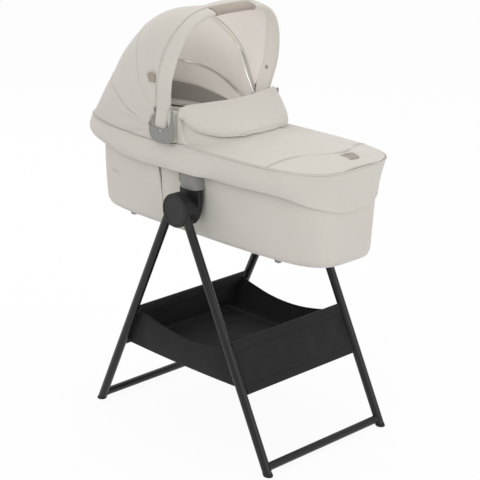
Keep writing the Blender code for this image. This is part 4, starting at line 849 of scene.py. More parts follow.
def rib_line(rib, angles):
    """The hood cloth's line over a rib: it droops towards the rear near its ends."""
    degrees, reach, droop = rib
    lean = degrees + droop * (1 - ease(rise_of(arch(degrees, reach, angles)) / DROOP_RISE))
    return arch(lean, reach, angles)


def between(first, last, steps, swell, corner, angles):
    """Cloth between two hoops, which swells out between them and more at its upper corners."""
    share = np.linspace(0, 1, steps + 1)[:, None, None]
    rows = mix(first[None], last[None], share)
    out = (rows - PIVOT) * (1, 0, 1)
    length = np.linalg.norm(out, axis=-1, keepdims=True)
    push = swell * np.minimum(length / REAR_RIB[1], 1)
    push = push + corner * (np.sin(np.radians(2 * angles)) ** 2)[None, :, None]
    return rows + out / length * push * np.sin(math.pi * share)


def hood_rows(angles):
    """The three panels' outer surfaces, from the bow to the rim."""
    front = bow_points(angles, 0.001)
    front = front + backwards(BOW_ANGLE) * (bow_width(front) / 2 + 0.001)[:, None]
    middle, rear = rib_line(MIDDLE_RIB, angles), rib_line(REAR_RIB, angles)
    around = np.radians(180 - angles * HEM_SPREAD / PANEL_SPREAD)
    radius = rounded(around, RIM_HEAD_SQUARE)
    x = HUB_X + (COT_HEAD - 0.003) * radius * np.cos(around)
    y = (RIM_HALF - 0.003) * radius * np.sin(around)
    hem = np.stack([x, y, SEAM_HEIGHT - head_dip(x, SEAM_HEAD_DIP) + 0.0035], -1)
    return {
        "front": between(front, middle, 22, 0.006, 0.018, angles),
        "middle": between(middle, rear, 20, 0.010, 0.0, angles),
        "rear": between(rear, hem, 22, 0.002, 0.0, angles),
    }


def bow_sections(angles, grown=0.0, points=28):
    """Sections of the flat padded bow round its hoop, or of one thicker and wider by some metres."""
    here = bow_points(angles)
    ahead = unit(bow_points(angles + 0.5) - bow_points(angles - 0.5))
    back = backwards(BOW_ANGLE)
    out = unit(np.cross(ahead, back))
    out *= np.sign(((here - PIVOT) * out).sum(-1, keepdims=True))
    turn = 2 * math.pi * (np.arange(points) + 0.5) / points
    radius = rounded(turn, BOW_SECTION_SQUARE)
    aside = ((bow_width(here) + grown)[:, None] / 2 * radius * np.cos(turn))[..., None]
    lift = ((BOW_THICK + grown) / 2 * radius * np.sin(turn))[..., None]
    return (here - out * BOW_THICK / 2)[:, None] + back * aside + out[:, None] * lift


def leg_x(end, height):
    """X of the middle line of a leg pair at a height, which the basket's rods share."""
    return HUB_X + end * (FOOT_REACH - LEG_SLOPE * height)


# Finishes by name, from the settings


def cloths():
    return bpy.context.scene.carrycot_cloth


def hards():
    return bpy.context.scene.carrycot_hard


def cream():
    return cloth("cream cloth", cloths().outer)


def lining_cloth():
    return cloth("lining cloth", cloths().lining, pitch=0.0013, crease=0.0007)


def thread():
    return cloth("cream thread", tone(cloths().outer, 0.93), pitch=0.0005, crease=0.0)


def basket_cloth():
    return cloth("basket cloth", cloths().basket, 0.55, 0.0018, 0.7, 0.08, 0.0012)


def basket_binding():
    return cloth("basket binding", tone(cloths().basket, 0.7), 0.7, 0.0012, 0.5, 0.05, 0.0)


def grey_moulding():
    return moulded("grey moulding", hards().grey, 0.55, 1.2)


def black_moulding():
    return moulded("black moulding", hards().black)


def tube_paint():
    return painted("tube paint", hards().tube)


def zinc():
    return bright_steel("zinc plate", (0.55, 0.55, 0.56))


def black_rubber():
    return rubbery("black rubber", hards().black)


def tan_leather():
    return leatherette("tan leatherette", cloths().leather)


def piping(name, line, finish, body=None, radius=SEAM_RADIUS, closed=False, slot="cream_fabric"):
    return run(name, "Piping", line, finish, body, closed, slot, Radius=radius)


def stitches(name, line, finish, body=None, closed=False, slot="cream_fabric"):
    sizes = {"Stitch": cloths().stitch, "Gap": cloths().stitch * STITCH_GAP, "Thread": THREAD_RADIUS}
    return run(name, "Stitches", line, finish, body, closed, slot, **sizes)


# Stand

# Hard pieces on each side: finish, angle of a sharp edge in degrees, width of its bevel
STAND_PIECES = {
    "rear_leg": (tube_paint, 50, 0),
    "front_leg": (tube_paint, 50, 0),
    "rear_foot_cap": (black_rubber, 50, 0),
    "front_foot_cap": (black_rubber, 50, 0),
    "hub_housing": (black_moulding, 30, 0.0012),
    "hub_cover": (black_moulding, 30, 0.0009),
    "leg_knuckle": (black_moulding, 30, 0),
    "adapter": (black_moulding, 30, 0.0008),
    "fold_bolt": (zinc, 30, 0),
}


def make_stand():
    """Legs, floor bars and rods in painted tube, with moulded hubs, caps and adapters."""
    for out, side in SIDES:
        for node, (finish, angle, edge) in STAND_PIECES.items():
            smoothed(f"{node}_{side}", finish(), angle, edge)
        turn = np.linspace(0, 2 * math.pi, 96, endpoint=False)[::-out]
        circle = np.stack([HUB_FACE[0] * np.cos(turn), 0 * turn, HUB_FACE[0] * np.sin(turn)], -1)
        line = circle + (HUB_X, out * HUB_FACE[1], HUB_HEIGHT)
        piping(f"hub_ring_{side}", line, black_moulding(), "rear_frame", RING_RADIUS, True, "black_plastic")
    for way, end in ENDS:
        for node in (f"{end}_floor_bar", f"basket_{end}_top_rod", f"basket_{end}_bottom_rod"):
            smoothed(node, tube_paint(), 50)
        make_weld_beads(way, end)


def make_weld_beads(way, end):
    """A bead of weld round each joint of a leg and its floor bar."""
    tilt = math.atan(LEG_SLOPE)
    turn = np.linspace(0, 2 * math.pi, 40, endpoint=False)
    u, v = (BAR_RADIUS + WELD_GAP) * np.cos(turn), (BAR_RADIUS + WELD_GAP) * np.sin(turn)
    off_axis = u * math.cos(tilt) + v * way * math.sin(tilt)
    deep = np.sqrt(np.maximum((LEG_RADIUS + WELD_GAP) ** 2 - off_axis**2, 0))
    lines = []
    for side, _ in SIDES:
        lines.append(np.stack([leg_x(way, BAR_HEIGHT) + u, side * (LEG_HALF - deep), BAR_HEIGHT + v], -1))
    piping(f"{end}_weld_beads", lines, tube_paint(), f"{end}_frame", WELD_RADIUS, True, "tube")


# Basket


def basket_end_rows(end):
    """An end panel: from its inner hem over the top rod, down its face and round the lower rod."""
    low, high = (np.array([leg_x(end, height), height]) for height in (BASKET_LOW, BASKET_HIGH))
    up = unit(high - low)
    out = np.array([up[1], -up[0]]) * end
    sleeve = ROD_SLEEVE - 0.0006
    turns = [up * sleeve * math.sin(t) - out * sleeve * math.cos(t) for t in np.linspace(0, math.pi, 9)]
    inside = [high - up * run - out * (sleeve - 0.0012) for run in np.linspace(0.020, 0.004, 5)]
    lower = [low + up * run - out * (sleeve - 0.0012) for run in np.linspace(0.004, 0.020, 5)]
    face = []
    for share in np.linspace(0.06, 0.94, 15):
        hollow = BASKET_HOLLOW * math.sin(math.pi * share)
        face.append(mix(high, low, share) + out * (sleeve - 0.0010 - hollow))
    over, under = [high + turn for turn in turns], [low - turn for turn in turns]
    profile = np.array(inside + over + face + under + lower)
    y = np.linspace(BASKET_END_HALF, -BASKET_END_HALF, 73) * end
    rows = np.empty((len(profile), len(y), 3))
    rows[..., 0], rows[..., 1], rows[..., 2] = profile[:, 0, None], y, profile[:, 1, None]
    loose = np.zeros(len(profile))
    loose[BASKET_FACE] = np.sin(math.pi * np.linspace(0, 1, len(face)))
    creases = ripple(rows * (1.0, 1.0, 0.35), 0.055, 11 + end) * BASKET_CREASE * loose[:, None]
    rows[..., 0] += out[0] * creases
    rows[..., 2] += out[1] * creases
    return rows


def basket_side_rows(side):
    """A side panel, hung between the end panels: its top edge sags and its belly stands out a little."""
    across = np.linspace(-1, 1, 81)
    down = np.linspace(0, 1, 29)[:, None]
    top_x = leg_x(1, BASKET_EDGE_HIGH) - HUB_X + 0.0035
    low_x = leg_x(1, BASKET_EDGE_LOW) - HUB_X + 0.0005
    top_z = BASKET_EDGE_HIGH - BASKET_SAG * np.maximum(np.cos(math.pi * across / 2), 0) ** 0.9
    low_z = BASKET_EDGE_LOW - 0.004 * (1 - across**2)
    rows = np.zeros((len(down), len(across), 3))
    rows[..., 0] = HUB_X + across * mix(top_x, low_x, down)
    rows[..., 2] = mix(top_z, low_z, down)
    belly = np.sin(math.pi * down) * (1 - across**4) * BASKET_BELLY
    creases = ripple(rows * (1.0, 1.0, 0.25), 0.05, 21) * BASKET_CREASE * (0.35 + across**2)
    rows[..., 1] = side * (BASKET_HALF - 0.0025 + belly + creases * np.sin(math.pi * (down * 0.9 + 0.1)))
    return outwards(rows, side)


def basket_floor_rows():
    """The floor, which dips between its edges."""
    share = np.linspace(-1, 1, 61)
    reach = leg_x(1, BASKET_LOW) - HUB_X - ROD_SLEEVE - 0.001
    x, y = np.meshgrid(share * reach, -share * (BASKET_HALF - 0.006), indexing="ij")
    dip = BASKET_DIP * (1 - share[:, None] ** 2) * (1 - share**4)
    rows = np.stack([HUB_X + x, y, BASKET_LOW + 0.0008 - dip], -1)
    rows[..., 2] += ripple(rows, 0.07, 31) * 0.0011 * (1 - share[:, None] ** 4)
    return rows[::-1]


def folds_with_frames(thing, height=0.23):
    """Make a piece of the basket's modifiers part of its mesh, and bake its place into the mesh."""
    start = (leg_x(-1, height) + 0.01, 0, height)
    end = (leg_x(1, height) - 0.01, 0, height)
    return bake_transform(settled(thing))


def make_basket():
    """Woven panels on the rods, side panels with bound edges, and a floor that dips."""
    dark = {"slot": "black_fabric"}
    for end, word in ENDS:
        rows, body = basket_end_rows(end), f"{word}_frame"
        name = f"basket_{word}"
        piece = cloth_sheet(name + "_cloth", rows, basket_cloth(), BASKET_THICK, "stretched", body, **dark)
        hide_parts(name + "_panel")
        raised = rows + facing(rows) * BASKET_STITCH_LIFT
        hems = [raised[row] for row in BASKET_HEM_ROWS]
        stitches(name + "_hem_stitches", hems, basket_binding(), body, **dark)
        edges = [rows[BASKET_BOUND_ROWS, column] for column in (0, -1)]
        piping(name + "_binding", edges, basket_binding(), body, HEM_RADIUS, **dark)
    for side, word in SIDES:
        rows = basket_side_rows(side)
        name = f"basket_{word}"
        piece = cloth_sheet(name + "_cloth", rows, basket_cloth(), BASKET_THICK, "hung", **dark)
        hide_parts(f"basket_side_{word}")
        folds_with_frames(piece)
        folds_with_frames(piping(name + "_binding", rows[0], basket_binding(), None, EDGE_RADIUS, **dark))
        line = (rows + facing(rows) * BASKET_STITCH_LIFT)[2]
        folds_with_frames(stitches(name + "_stitches", line, basket_binding(), **dark))
    rows = basket_floor_rows()
    piece = cloth_sheet("basket_floor_cloth", rows, basket_cloth(), BASKET_FLOOR_THICK, "hung", **dark)
    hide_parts("basket_floor")
    folds_with_frames(piece, BASKET_LOW)


# Tub


def ruffled(rows, size, seed, depth, closed=False):
    """Rows pushed in and out along their normals by soft creases that die out at the first and last row."""
    share = np.maximum(np.sin(math.pi * np.linspace(0, 1, len(rows))), 0)[:, None] ** 0.5
    return rows + facing(rows, closed) * (ripple(rows, size, seed) * depth * share)[..., None]


def tub_rows():
    """The tub's outside, from the flat of its base round its rolled edge and up its wall."""
    rows = []
    for angle in np.radians(np.linspace(0, 90, 10)[:-1]):
        height = TUB_BOTTOM + TUB_ROUNDING * (1 - math.cos(angle))
        rows.append(outset(tub_ring(height), -TUB_ROUNDING * (1 - math.sin(angle))))
    for height in np.linspace(TUB_BOTTOM + TUB_ROUNDING, TUB_TOP, 44):
        rows.append(tub_ring(height))
    return np.array(rows)


def on_tub(line, side, lift=0.0):
    """Points on the tub's side at given places (x, z)."""
    points = []
    for x, z in line:
        ring = tub_ring(z)
        ring = ring[ring[:, 1] * side > 0]
        ring = ring[np.argsort(ring[:, 0])]
        points.append((x, np.interp(x, ring[:, 0], ring[:, 1]) + side * lift, z))
    return np.array(points)


def shrunk(ring, shares, heights):
    """Rings inside a ring, each at its share of the size and its height."""
    middle = np.array([HUB_X + (COT_FOOT - COT_HEAD) / 2, 0, 0])
    return [at_height(middle + (ring - middle) * share, height) for share, height in zip(shares, heights)]


def make_tub():
    """The tub's cover, base and lining, its board, the tube round its rim and its grey pads."""
    rows = ruffled(tub_rows(), 0.11, 5, 0.0009, closed=True)
    cover = cloth_sheet("tub_cover", rows, cream(), COVER_THICK, "stretched", "carrycot", closed=True)
    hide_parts("cot_tub")
    shares = np.concatenate([[0.02], np.linspace(0.1, 1, 10)])
    base = np.array(shrunk(rows[0], shares, [TUB_BOTTOM] * len(shares)))
    base = keep("tub_base", surface("tub_base", base, closed=True), cream(), "carrycot", "cream_fabric")
    thicken(base, COVER_THICK)
    inside = [outset(tub_ring(height), -TUB_WALL) for height in np.linspace(TUB_TOP, LINING_LOW, 30)]
    lining = ruffled(np.array(inside), 0.10, 6, 0.0008, closed=True)
    cloth_sheet("tub_lining", lining, lining_cloth(), LINING_THICK, "hung", "carrycot", closed=True)
    for side, word in SIDES:
        make_tub_seams(side, word)
    smoothed("base_board", moulded("board", (0.42, 0.40, 0.36), 0.7), 30)
    smoothed("rim_tube", tube_paint(), 60)
    for place in ("head_right", "head_left", "foot_right", "foot_left"):
        smoothed(f"cot_pad_{place}", rubbery("grey rubber", hards().grey), 30)


def make_tub_seams(side, word):
    """A level seam from the head, an upright one beside the receiver, their lap, a dark strip painted as the
    shade in the slit, and stitches.
    """
    level = [(x, SEAM_LEVEL + 0.001 * math.sin(x * 40)) for x in np.linspace(SEAM_HEAD, SEAM_X - 0.002, 40)]
    upright = [(SEAM_X + 0.002 * math.sin(z * 30), z) for z in np.linspace(SEAM_TOP, SEAM_LOW, 36)]
    welts = [on_tub(line, side, 0.0002) for line in (level, upright)]
    piping(f"tub_welts_{word}", welts, cream(), "carrycot", WELT_RADIUS)
    make_tub_panel(side, word)
    make_slit_shade(side, word)
    sewn = [(x, z - 0.004) for x, z in level], [(x - 0.004, z) for x, z in upright]
    stitches(f"tub_stitches_{word}", [on_tub(line, side, 0.0002) for line in sewn], thread(), "carrycot")


def make_tub_panel(side, word):
    """The cover's head part laps over at the upright seam and stands off a little at its top."""
    x = np.linspace(SEAM_HEAD, SEAM_X - 0.0005, 44)
    rows = []
    for z in np.linspace(SEAM_LOW, TUB_TOP - 0.002, 30):
        row = on_tub([(place, z) for place in x], side)
        lift = 0.0026 * ease((x + 0.150) / 0.065) * ease((z - 0.575) / 0.09) - 0.0010
        lift += 0.0016 * ease((x - SEAM_HEAD) / 0.05) * ease((z - SEAM_LOW) / 0.03)
        row[:, 1] += side * lift
        rows.append(row)
    rows = outwards(np.array(rows), side)
    cloth_sheet(f"tub_panel_{word}", rows, cream(), LAP_THICK, "stretched", "carrycot")


def make_slit_shade(side, word):
    """A dark strip painted as the shade in the gap that opens under the lapped edge, wider towards its top.
    """
    rows = []
    for z in np.linspace(0.600, TUB_TOP - 0.002, 16):
        wide = 0.0038 * ease((z - 0.598) / 0.05)
        hidden = on_tub([(SEAM_X - 0.0123, z)], side, -0.0006)
        seen = on_tub([(SEAM_X - 0.0013, z), (SEAM_X - 0.0003 + wide, z)], side, 0.0009)
        rows.append(np.concatenate([hidden, seen]))
    rows = outwards(np.array(rows), side)
    # Dark basket binding cloth, used here as painted shade
    cloth_sheet(f"tub_slit_{word}", rows, basket_binding(), SLIT_SHADE_THICK, "stretched", "carrycot")


# Rim


def rim_rows():
    """The padded skirt: a rolled hem, out to the seam, then over the rim to the tub's top edge."""
    seam, hem = seam_ring(), hem_ring()
    rows = []
    for angle in np.radians(np.linspace(180, 0, 7)):
        ring = outset(hem, HEM_ROLL * (math.cos(angle) - 1))
        ring[:, 2] -= HEM_ROLL * math.sin(angle)
        rows.append(ring)
    round_head = ease((HUB_X - COT_HEAD / 2 - seam[:, 0]) / (COT_HEAD / 3))
    bulge = mix(mix(BULGE_SIDE, BULGE_HEAD, round_head), BULGE_FOOT, foot_turn(seam[:, 0]))
    turn = np.cumsum(np.linalg.norm(np.diff(hem, axis=0, append=hem[:1]), axis=1))
    pucker = 0.0006 * np.sin(turn * 2 * math.pi / 0.011) + 0.0007 * np.sin(turn * 2 * math.pi / 0.031 + 1)
    for share in np.linspace(0, 1, 25)[1:-1]:
        puckered = pucker * (math.exp(-share * 9) + 0.8 * math.exp(-(1 - share) * 12))
        rows.append(outset(mix(hem, seam, share), bulge * math.sin(math.pi * share**0.85) + puckered))
    roll = outset(seam, -0.010)
    roll[:, 2] = mix(seam[:, 2], SEAM_HEIGHT, 0.5)
    inner = at_height(outset(tub_ring(TUB_TOP), -TUB_WALL * 0.6), SEAM_HEIGHT)
    return np.array(rows + [seam, mix(seam, roll, 0.5), roll, mix(roll, inner, 0.5), inner])


def make_rim():
    """The padded skirt round the rim, the piping on its seam, its gussets, receivers and hood joints."""
    rows = rim_rows()
    soft = rows + facing(rows, True) * (ripple(rows * (1, 1, 0.6), 0.12, 8) * 0.0007)[..., None]
    skirt = keep("rim_skirt", surface("rim_skirt", soft, True), cream(), "carrycot", "cream_fabric")
    thicken(skirt, COVER_THICK)
    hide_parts("rim_band")
    piping("rim_piping", seam_ring() + (0, 0, 0.0014), cream(), "carrycot", cloths().piping, True)
    for side, word in SIDES:
        make_gusset(side, word)
    for side, word in SIDES:
        make_receiver(side, word)
        smoothed(f"release_button_{word}", grey_moulding(), 30)
        smoothed(f"hood_joint_{word}", grey_moulding(), 30)
        smoothed(f"hood_pin_{word}", zinc(), 30)


def make_gusset(side, word):
    """Cloth that closes the corner between a hood joint's arm and the apron's head edge."""
    heights = np.linspace(GUSSET_LOW, GUSSET_HIGH, 9)
    rows = np.array([[(x, -side * y, height) for x, y in GUSSET_CORNERS] for height in heights])
    rows = outwards(rows, side)
    cloth_sheet(f"rim_gusset_{word}", rows, cream(), LINING_THICK, "stretched", "carrycot")


def make_receiver(side, word):
    """A grey housing with round corners, hollow below for the adapter's tongue."""
    low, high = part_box(f"receiver_{word}")
    middle, half = (low[0] + high[0]) / 2, (high[0] - low[0]) / 2
    deep = max(abs(low[1]), abs(high[1])) - RECEIVER_BACK
    turn = np.linspace(0, 2 * math.pi, 72, endpoint=False)
    radius = rounded(turn, 3.6)
    rows = []
    for inset, height in (*RECEIVER_PROFILE, (0.012, high[2] - low[2])):
        x = middle + (half - min(inset, RECEIVER_LIP)) * radius * np.cos(turn)
        y = RECEIVER_BACK + (deep - inset) * radius * np.sin(turn)
        rows.append(np.stack([x, side * y, np.full(len(turn), low[2] + height)], -1))
    rows = outwards(np.array(rows), -side)
    shell = capped(f"receiver_shell_{word}", rows, grey_moulding(), "carrycot", "grey_plastic")
    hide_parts(f"receiver_{word}")


# Apron and wind flap


def apron_grid():
    """Places (x, across) over the apron: down its ramp, then low to the foot."""
    across = np.sin(math.pi / 2 * np.linspace(1, -1, 101))
    tip = COT_FOOT - APRON_CLOTH - 0.002
    start, end = apron_head_edge(across), apron_ramp_end(across)
    ramp = np.linspace(0, 1, 41)[:-1, None]
    low = 1 - (1 - np.linspace(0, 1, 71)[:, None]) ** 1.6
    x = np.concatenate([mix(start, end, ramp), mix(end, tip, low)])
    return x, np.broadcast_to(across, x.shape)


def on_apron(x, y, lift=0.0):
    """Points on the apron at places given from the fold axis."""
    x, y = np.broadcast_arrays(np.asarray(x, float), np.asarray(y, float))
    return apron_points(x, y / apron_half(x)) + (0, 0, lift)


def make_apron():
    """The cover over the foot end, tucked down at its edge, its head binding, curved seam and patch."""
    x, across = apron_grid()
    rows = apron_points(x, across)
    low = ease((x - 0.02) / 0.06)
    soft = ripple(rows, 0.10, 14) * 0.0013 + ripple(rows * (0.5, 1, 1), 0.045, 15) * 0.0005 * low
    rows[..., 2] += soft * (1 - np.abs(across) ** 6)
    tucked = rows[:, [0, -1]] + [(0, 0.0006, 0), (0, -0.0006, 0)]
    rows = np.concatenate([tucked[:, :1], rows, tucked[:, 1:]], axis=1)
    rows = np.concatenate([rows, rows[-1:] + (0.0016, 0, 0)])
    for edge in (rows[:, 0], rows[:, -1], rows[-1]):
        edge[:, 2] = SEAM_HEIGHT + 0.0012
    sheet = cloth_sheet("apron_cloth", rows, cream(), COVER_THICK, "stretched", "carrycot")
    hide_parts("apron")
    piping("apron_head_binding", rows[0, 1:-1], cream(), "carrycot", HEAD_RADIUS)
    seam_x, seam_y = np.array(APRON_SEAM).T
    y = np.linspace(seam_y[0], seam_y[-1], 120)
    arc = np.convolve(np.pad(np.interp(y, seam_y, seam_x), 8, "edge"), np.ones(17) / 17, "valid")
    piping("apron_seam", on_apron(arc, y, 0.0009), cream(), "carrycot", WELT_RADIUS)
    stitches("apron_stitches", on_apron(arc - 0.005, y, 0.0008), thread(), "carrycot")
    make_patch()


def patch_rows(inset=0.0):
    """A rectangle with round corners, from its head edge to its foot edge."""
    down = np.sin(math.pi / 2 * np.linspace(-1, 1, 25))[:, None]
    half = (PATCH_HALF[1] - inset) * np.maximum(1 - np.abs(down) ** 5, 0.0005) ** 0.2
    x = PATCH_PLACE[0] + (PATCH_HALF[0] - inset) * down
    rows = on_apron(x, PATCH_PLACE[1] + np.linspace(1, -1, 25) * half)
    return rows + facing(rows) * PATCH_LIFT


def make_patch():
    """A bare patch of leatherette sewn on near the foot."""
    patch = surface("apron_patch", patch_rows())
    thicken(keep("apron_patch", patch, tan_leather(), "carrycot", "leatherette"), LEATHER_THICK)
    sewn = patch_rows(0.0022) + (0, 0, 0.0001)
    outline = np.concatenate([sewn[:, 0], sewn[-1, 1:-1], sewn[::-1, -1], sewn[0, -2:0:-1]])
    stitches("patch_stitches", outline, thread(), "carrycot", True, "leatherette")


def flap_rings():
    """Sections of the padded crescent that lies folded down over the apron's head edge."""
    across = np.sin(math.pi / 2 * np.linspace(1, -1, 83))[1:-1, None]
    share = np.linspace(0, 1, FLAP_STEPS)
    reach = 0.30 + 0.70 * np.sqrt(np.maximum(1 - (np.abs(across) / WIDEST) ** 5, 0))
    x = mix(apron_head_edge(across), apron_ramp_end(across), share * reach)
    across = np.broadcast_to(across, x.shape)
    puffed = FLAP_THICK * (1 - (2 * share - 1) ** 4) ** 0.5 * (1 - np.abs(across) ** 10) + 0.002
    low = apron_points(x, across, FLAP_LIFT)
    high = apron_points(x, across, FLAP_LIFT + puffed)
    return np.concatenate([low, high[:, ::-1]], axis=1)


def make_flap():
    """The wind flap, filled and edged with piping."""
    rings = flap_rings()
    flap = capped("wind_flap_pad", rings, cream(), "wind_flap")
    puff(flap, 0.0025, 0.004, 4.0)
    lift_off_apron(flap.data)
    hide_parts("wind_flap")
    lower = hugging(mix(rings[:, FLAP_STEPS - 1], rings[:, FLAP_STEPS], 0.5), flap)
    piping("wind_flap_piping", lower, cream(), "wind_flap", EDGE_RADIUS)


def lift_off_apron(mesh):
    """Raise what the filling pressed into the apron."""
    points = points_of(mesh)
    x = np.clip(points[:, 0] - HUB_X, -0.05, COT_FOOT * 0.9)
    across = np.clip(points[:, 1] / apron_half(x), -WIDEST, WIDEST)
    points[:, 2] = np.maximum(points[:, 2], apron_points(x, across)[:, 2] + FLAP_CLEAR)
    mesh.vertices.foreach_set("co", points.ravel())


# Hood


def folds_with_hood(thing, panel):
    """Make a piece of the hood's cloth's modifiers part of its mesh, and bake its place into the mesh."""
    settled(thing)
    if panel == "rear":
        start, end = ((PIVOT[0] - 0.2, 0, SEAM_HEIGHT + rise) for rise in (0.006, 0.064))
        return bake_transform(thing)
    rows = hood_rows(np.zeros(1))[panel]
    start, end = (tuple(mix(rows[-1, 0], rows[0, 0], share)) for share in (0.25, 0.75))
    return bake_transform(thing)


def fanned(rows):
    """Drag lines that spread from the hood's pivot up its sides."""
    out = rows - PIVOT
    lean = np.arctan2(-out[..., 0], out[..., 2])
    rise = rise_of(rows)
    near = ease((rise - 0.02) / 0.05) * (1 - ease((rise - 0.09) / 0.13))
    lines = np.sin(lean * 23 + 1.2) + 0.6 * np.sin(lean * 41 + 0.5)
    return rows + facing(rows) * (lines * near * 0.0011)[..., None]


def part_of(rows, first, last, steps):
    """New rows between two shares of the way down, each a number or one for each column."""
    end = len(rows) - 1
    share = mix(np.asarray(first), np.asarray(last), np.linspace(0, 1, steps + 1)[:, None]) * end
    share = np.broadcast_to(share, (steps + 1, rows.shape[1]))
    low = np.minimum(share.astype(int), end - 1)
    column = np.arange(rows.shape[1])
    return mix(rows[low, column], rows[low + 1, column], (share - low)[..., None])


def make_hood():
    """Three outer panels and their linings, with the seams between them and the hem's piping."""
    angles = HOOD_ANGLES
    panels = hood_rows(angles)
    under = bow_points(angles, 0.005)
    under = under + backwards(BOW_ANGLE) * (bow_width(under) / 2 - 0.007)[:, None]
    for seed, (panel, rows) in enumerate(panels.items()):
        tucked = [under[None]] if panel == "front" else []
        soft = fanned(ruffled(rows, 0.085, 40 + seed, 0.0007 if panel == "front" else 0.0012))
        soft = np.concatenate([*tucked, soft])
        outer = cloth_sheet(f"hood_{panel}_cloth", soft, cream(), HOOD_THICK, "stretched")
        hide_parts(f"hood_{panel}_panel")
        folds_with_hood(outer, panel)
        inner = rows - facing(rows) * LINING_DEPTH
        if panel == "rear":
            make_rear_lining(inner)
        else:
            inner = np.concatenate([*tucked, ruffled(inner, 0.08, 50 + seed, 0.0009)])[::-1]
            name = f"hood_{panel}_lining"
            lining = cloth_sheet(name, inner, lining_cloth(), HOOD_LINING_THICK, "stretched")
            folds_with_hood(lining, panel)
    for panel, body in (("front", "hood_bow"), ("middle", "hood_middle"), ("rear", "hood_rear")):
        piping(f"hood_seam_{panel}", panels[panel][0], cream(), body)
    piping("hood_hem_piping", panels["rear"][-1] + (0, 0, 0.0005), cream(), "carrycot", HEM_RADIUS)
    make_rib_channel()
    make_zip()
    make_tag(panels["front"])
    for node in ("hood_middle_rib", "hood_rear_rib"):
        smoothed(node, zinc(), 40)


def make_rear_lining(inner):
    """The rear lining: cloth above, a grey mesh window, and a strip of cloth along the rim."""
    top = WINDOW_TOP + 0.10 * (np.abs(HOOD_ANGLES) / PANEL_SPREAD) ** 2
    pieces = (
        ("hood_rear_lining", 0.0, top, 10, lining_cloth(), HOOD_LINING_THICK),
        ("hood_window", top, WINDOW_LOW, 10, netting("grey mesh", cloths().mesh), MESH_THICK),
        ("hood_rear_strip", WINDOW_LOW, 1.0, 4, lining_cloth(), HOOD_LINING_THICK),
    )
    for name, first, last, steps, finish, thickness in pieces:
        rows = part_of(inner, first, last, steps)[::-1]
        folds_with_hood(cloth_sheet(name, rows, finish, thickness, "stretched"), "rear")
    raised = inner - facing(inner) * 0.0008
    edges = [part_of(raised, share, share + 0.01, 1)[0] for share in (top, WINDOW_LOW)]
    folds_with_hood(piping("hood_window_binding", edges, cream(), None, TAPE_RADIUS), "rear")


def inside_line(rib, angles, depth):
    """A line inside the hood along a rib at a depth below the cloth, and the way inwards at each point."""
    line = rib_line(rib, angles)
    toward = unit(rib_line(rib, angles * 0.999) - PIVOT)
    inward = unit(np.cross(unit(np.gradient(line, axis=0)), backwards(rib[0])))
    inward *= -np.sign((inward * toward).sum(-1, keepdims=True))
    return line + inward * depth, inward


def make_rib_channel():
    """A band of cloth sewn over the middle rib on the inside of the hood."""
    line, inward = inside_line(MIDDLE_RIB, HOOD_ANGLES, LINING_DEPTH + 0.0002)
    half = CHANNEL_HALF * (ease((rise_of(line) - 0.01) / 0.10) + 1)[:, None]
    aside = backwards(MIDDLE_RIB[0]) * half
    rows = []
    for turn in np.linspace(-1, 1, 9):
        rise = CHANNEL_RISE * max(math.cos(math.pi / 2 * turn), 0) ** 0.7
        rows.append(line - aside * turn + inward * rise)
    cloth_sheet("hood_rib_channel", np.array(rows), cream(), HOOD_LINING_THICK, "stretched", "hood_middle")


def make_zip():
    """A zip along the rear rib inside the hood: two tapes, and teeth between them."""
    line, _ = inside_line(REAR_RIB, HOOD_ANGLES[6:-6], LINING_DEPTH + 0.0010)
    aside = backwards(REAR_RIB[0]) * ZIP_HALF
    piping("hood_zip_tapes", [line + aside, line - aside], cream(), "hood_rear", TAPE_RADIUS)
    run("hood_zip_teeth", "Zip teeth", line, thread(), "hood_rear", Pitch=0.0022, Width=0.0030)


def make_tag(front):
    """A small tan loop tag in the front seam, on the right side."""
    rows = front[:, 6:19]
    spot = part_of(rows, TAG_START, TAG_END, 10)
    tall = np.abs(rise_of(rows[0]) - TAG_RISE).argmin()
    middle, normals = spot[:, tall], facing(spot)[:, tall]
    upward = unit(np.cross(normals, np.gradient(middle, axis=0)))
    upward *= np.sign(upward[:, 2:])
    heights = np.linspace(0.5, -0.5, 9)[:, None, None] * TAG_HEIGHT
    rows = (middle + upward * heights + normals * TAG_LIFT)[:, ::-1]
    tag = keep("hood_tag", surface("hood_tag", rows), tan_leather(), None, "leatherette")
    folds_with_hood(thicken(tag, LEATHER_THICK), "front")
    edge = np.concatenate([rows[1:-1, 1], rows[-2, 2:-1], rows[-2:0:-1, -2], rows[1, -2:1:-1]])
    sewn = stitches("hood_tag_stitches", edge, thread(), None, True, "leatherette")
    folds_with_hood(sewn, "front")


# Bow


def bow_half(side):
    """Sections of one padded side of the bow, with a round end below the pivot."""
    rings = bow_sections(np.linspace(side * (GRIP_SPREAD + 0.3), side * 88.5, 64), points=30)
    end = rings[-1].mean(0)
    lean = math.radians(BOW_ANGLE)
    down = np.array([math.sin(lean), 0, -math.cos(lean)]) * BOW_END
    round_end = []
    for turn in np.radians([18, 36, 52, 66, 78]):
        round_end.append(end + (rings[-1] - end) * math.cos(turn) + down * math.sin(turn))
    return outwards(np.concatenate([rings, round_end]), side)


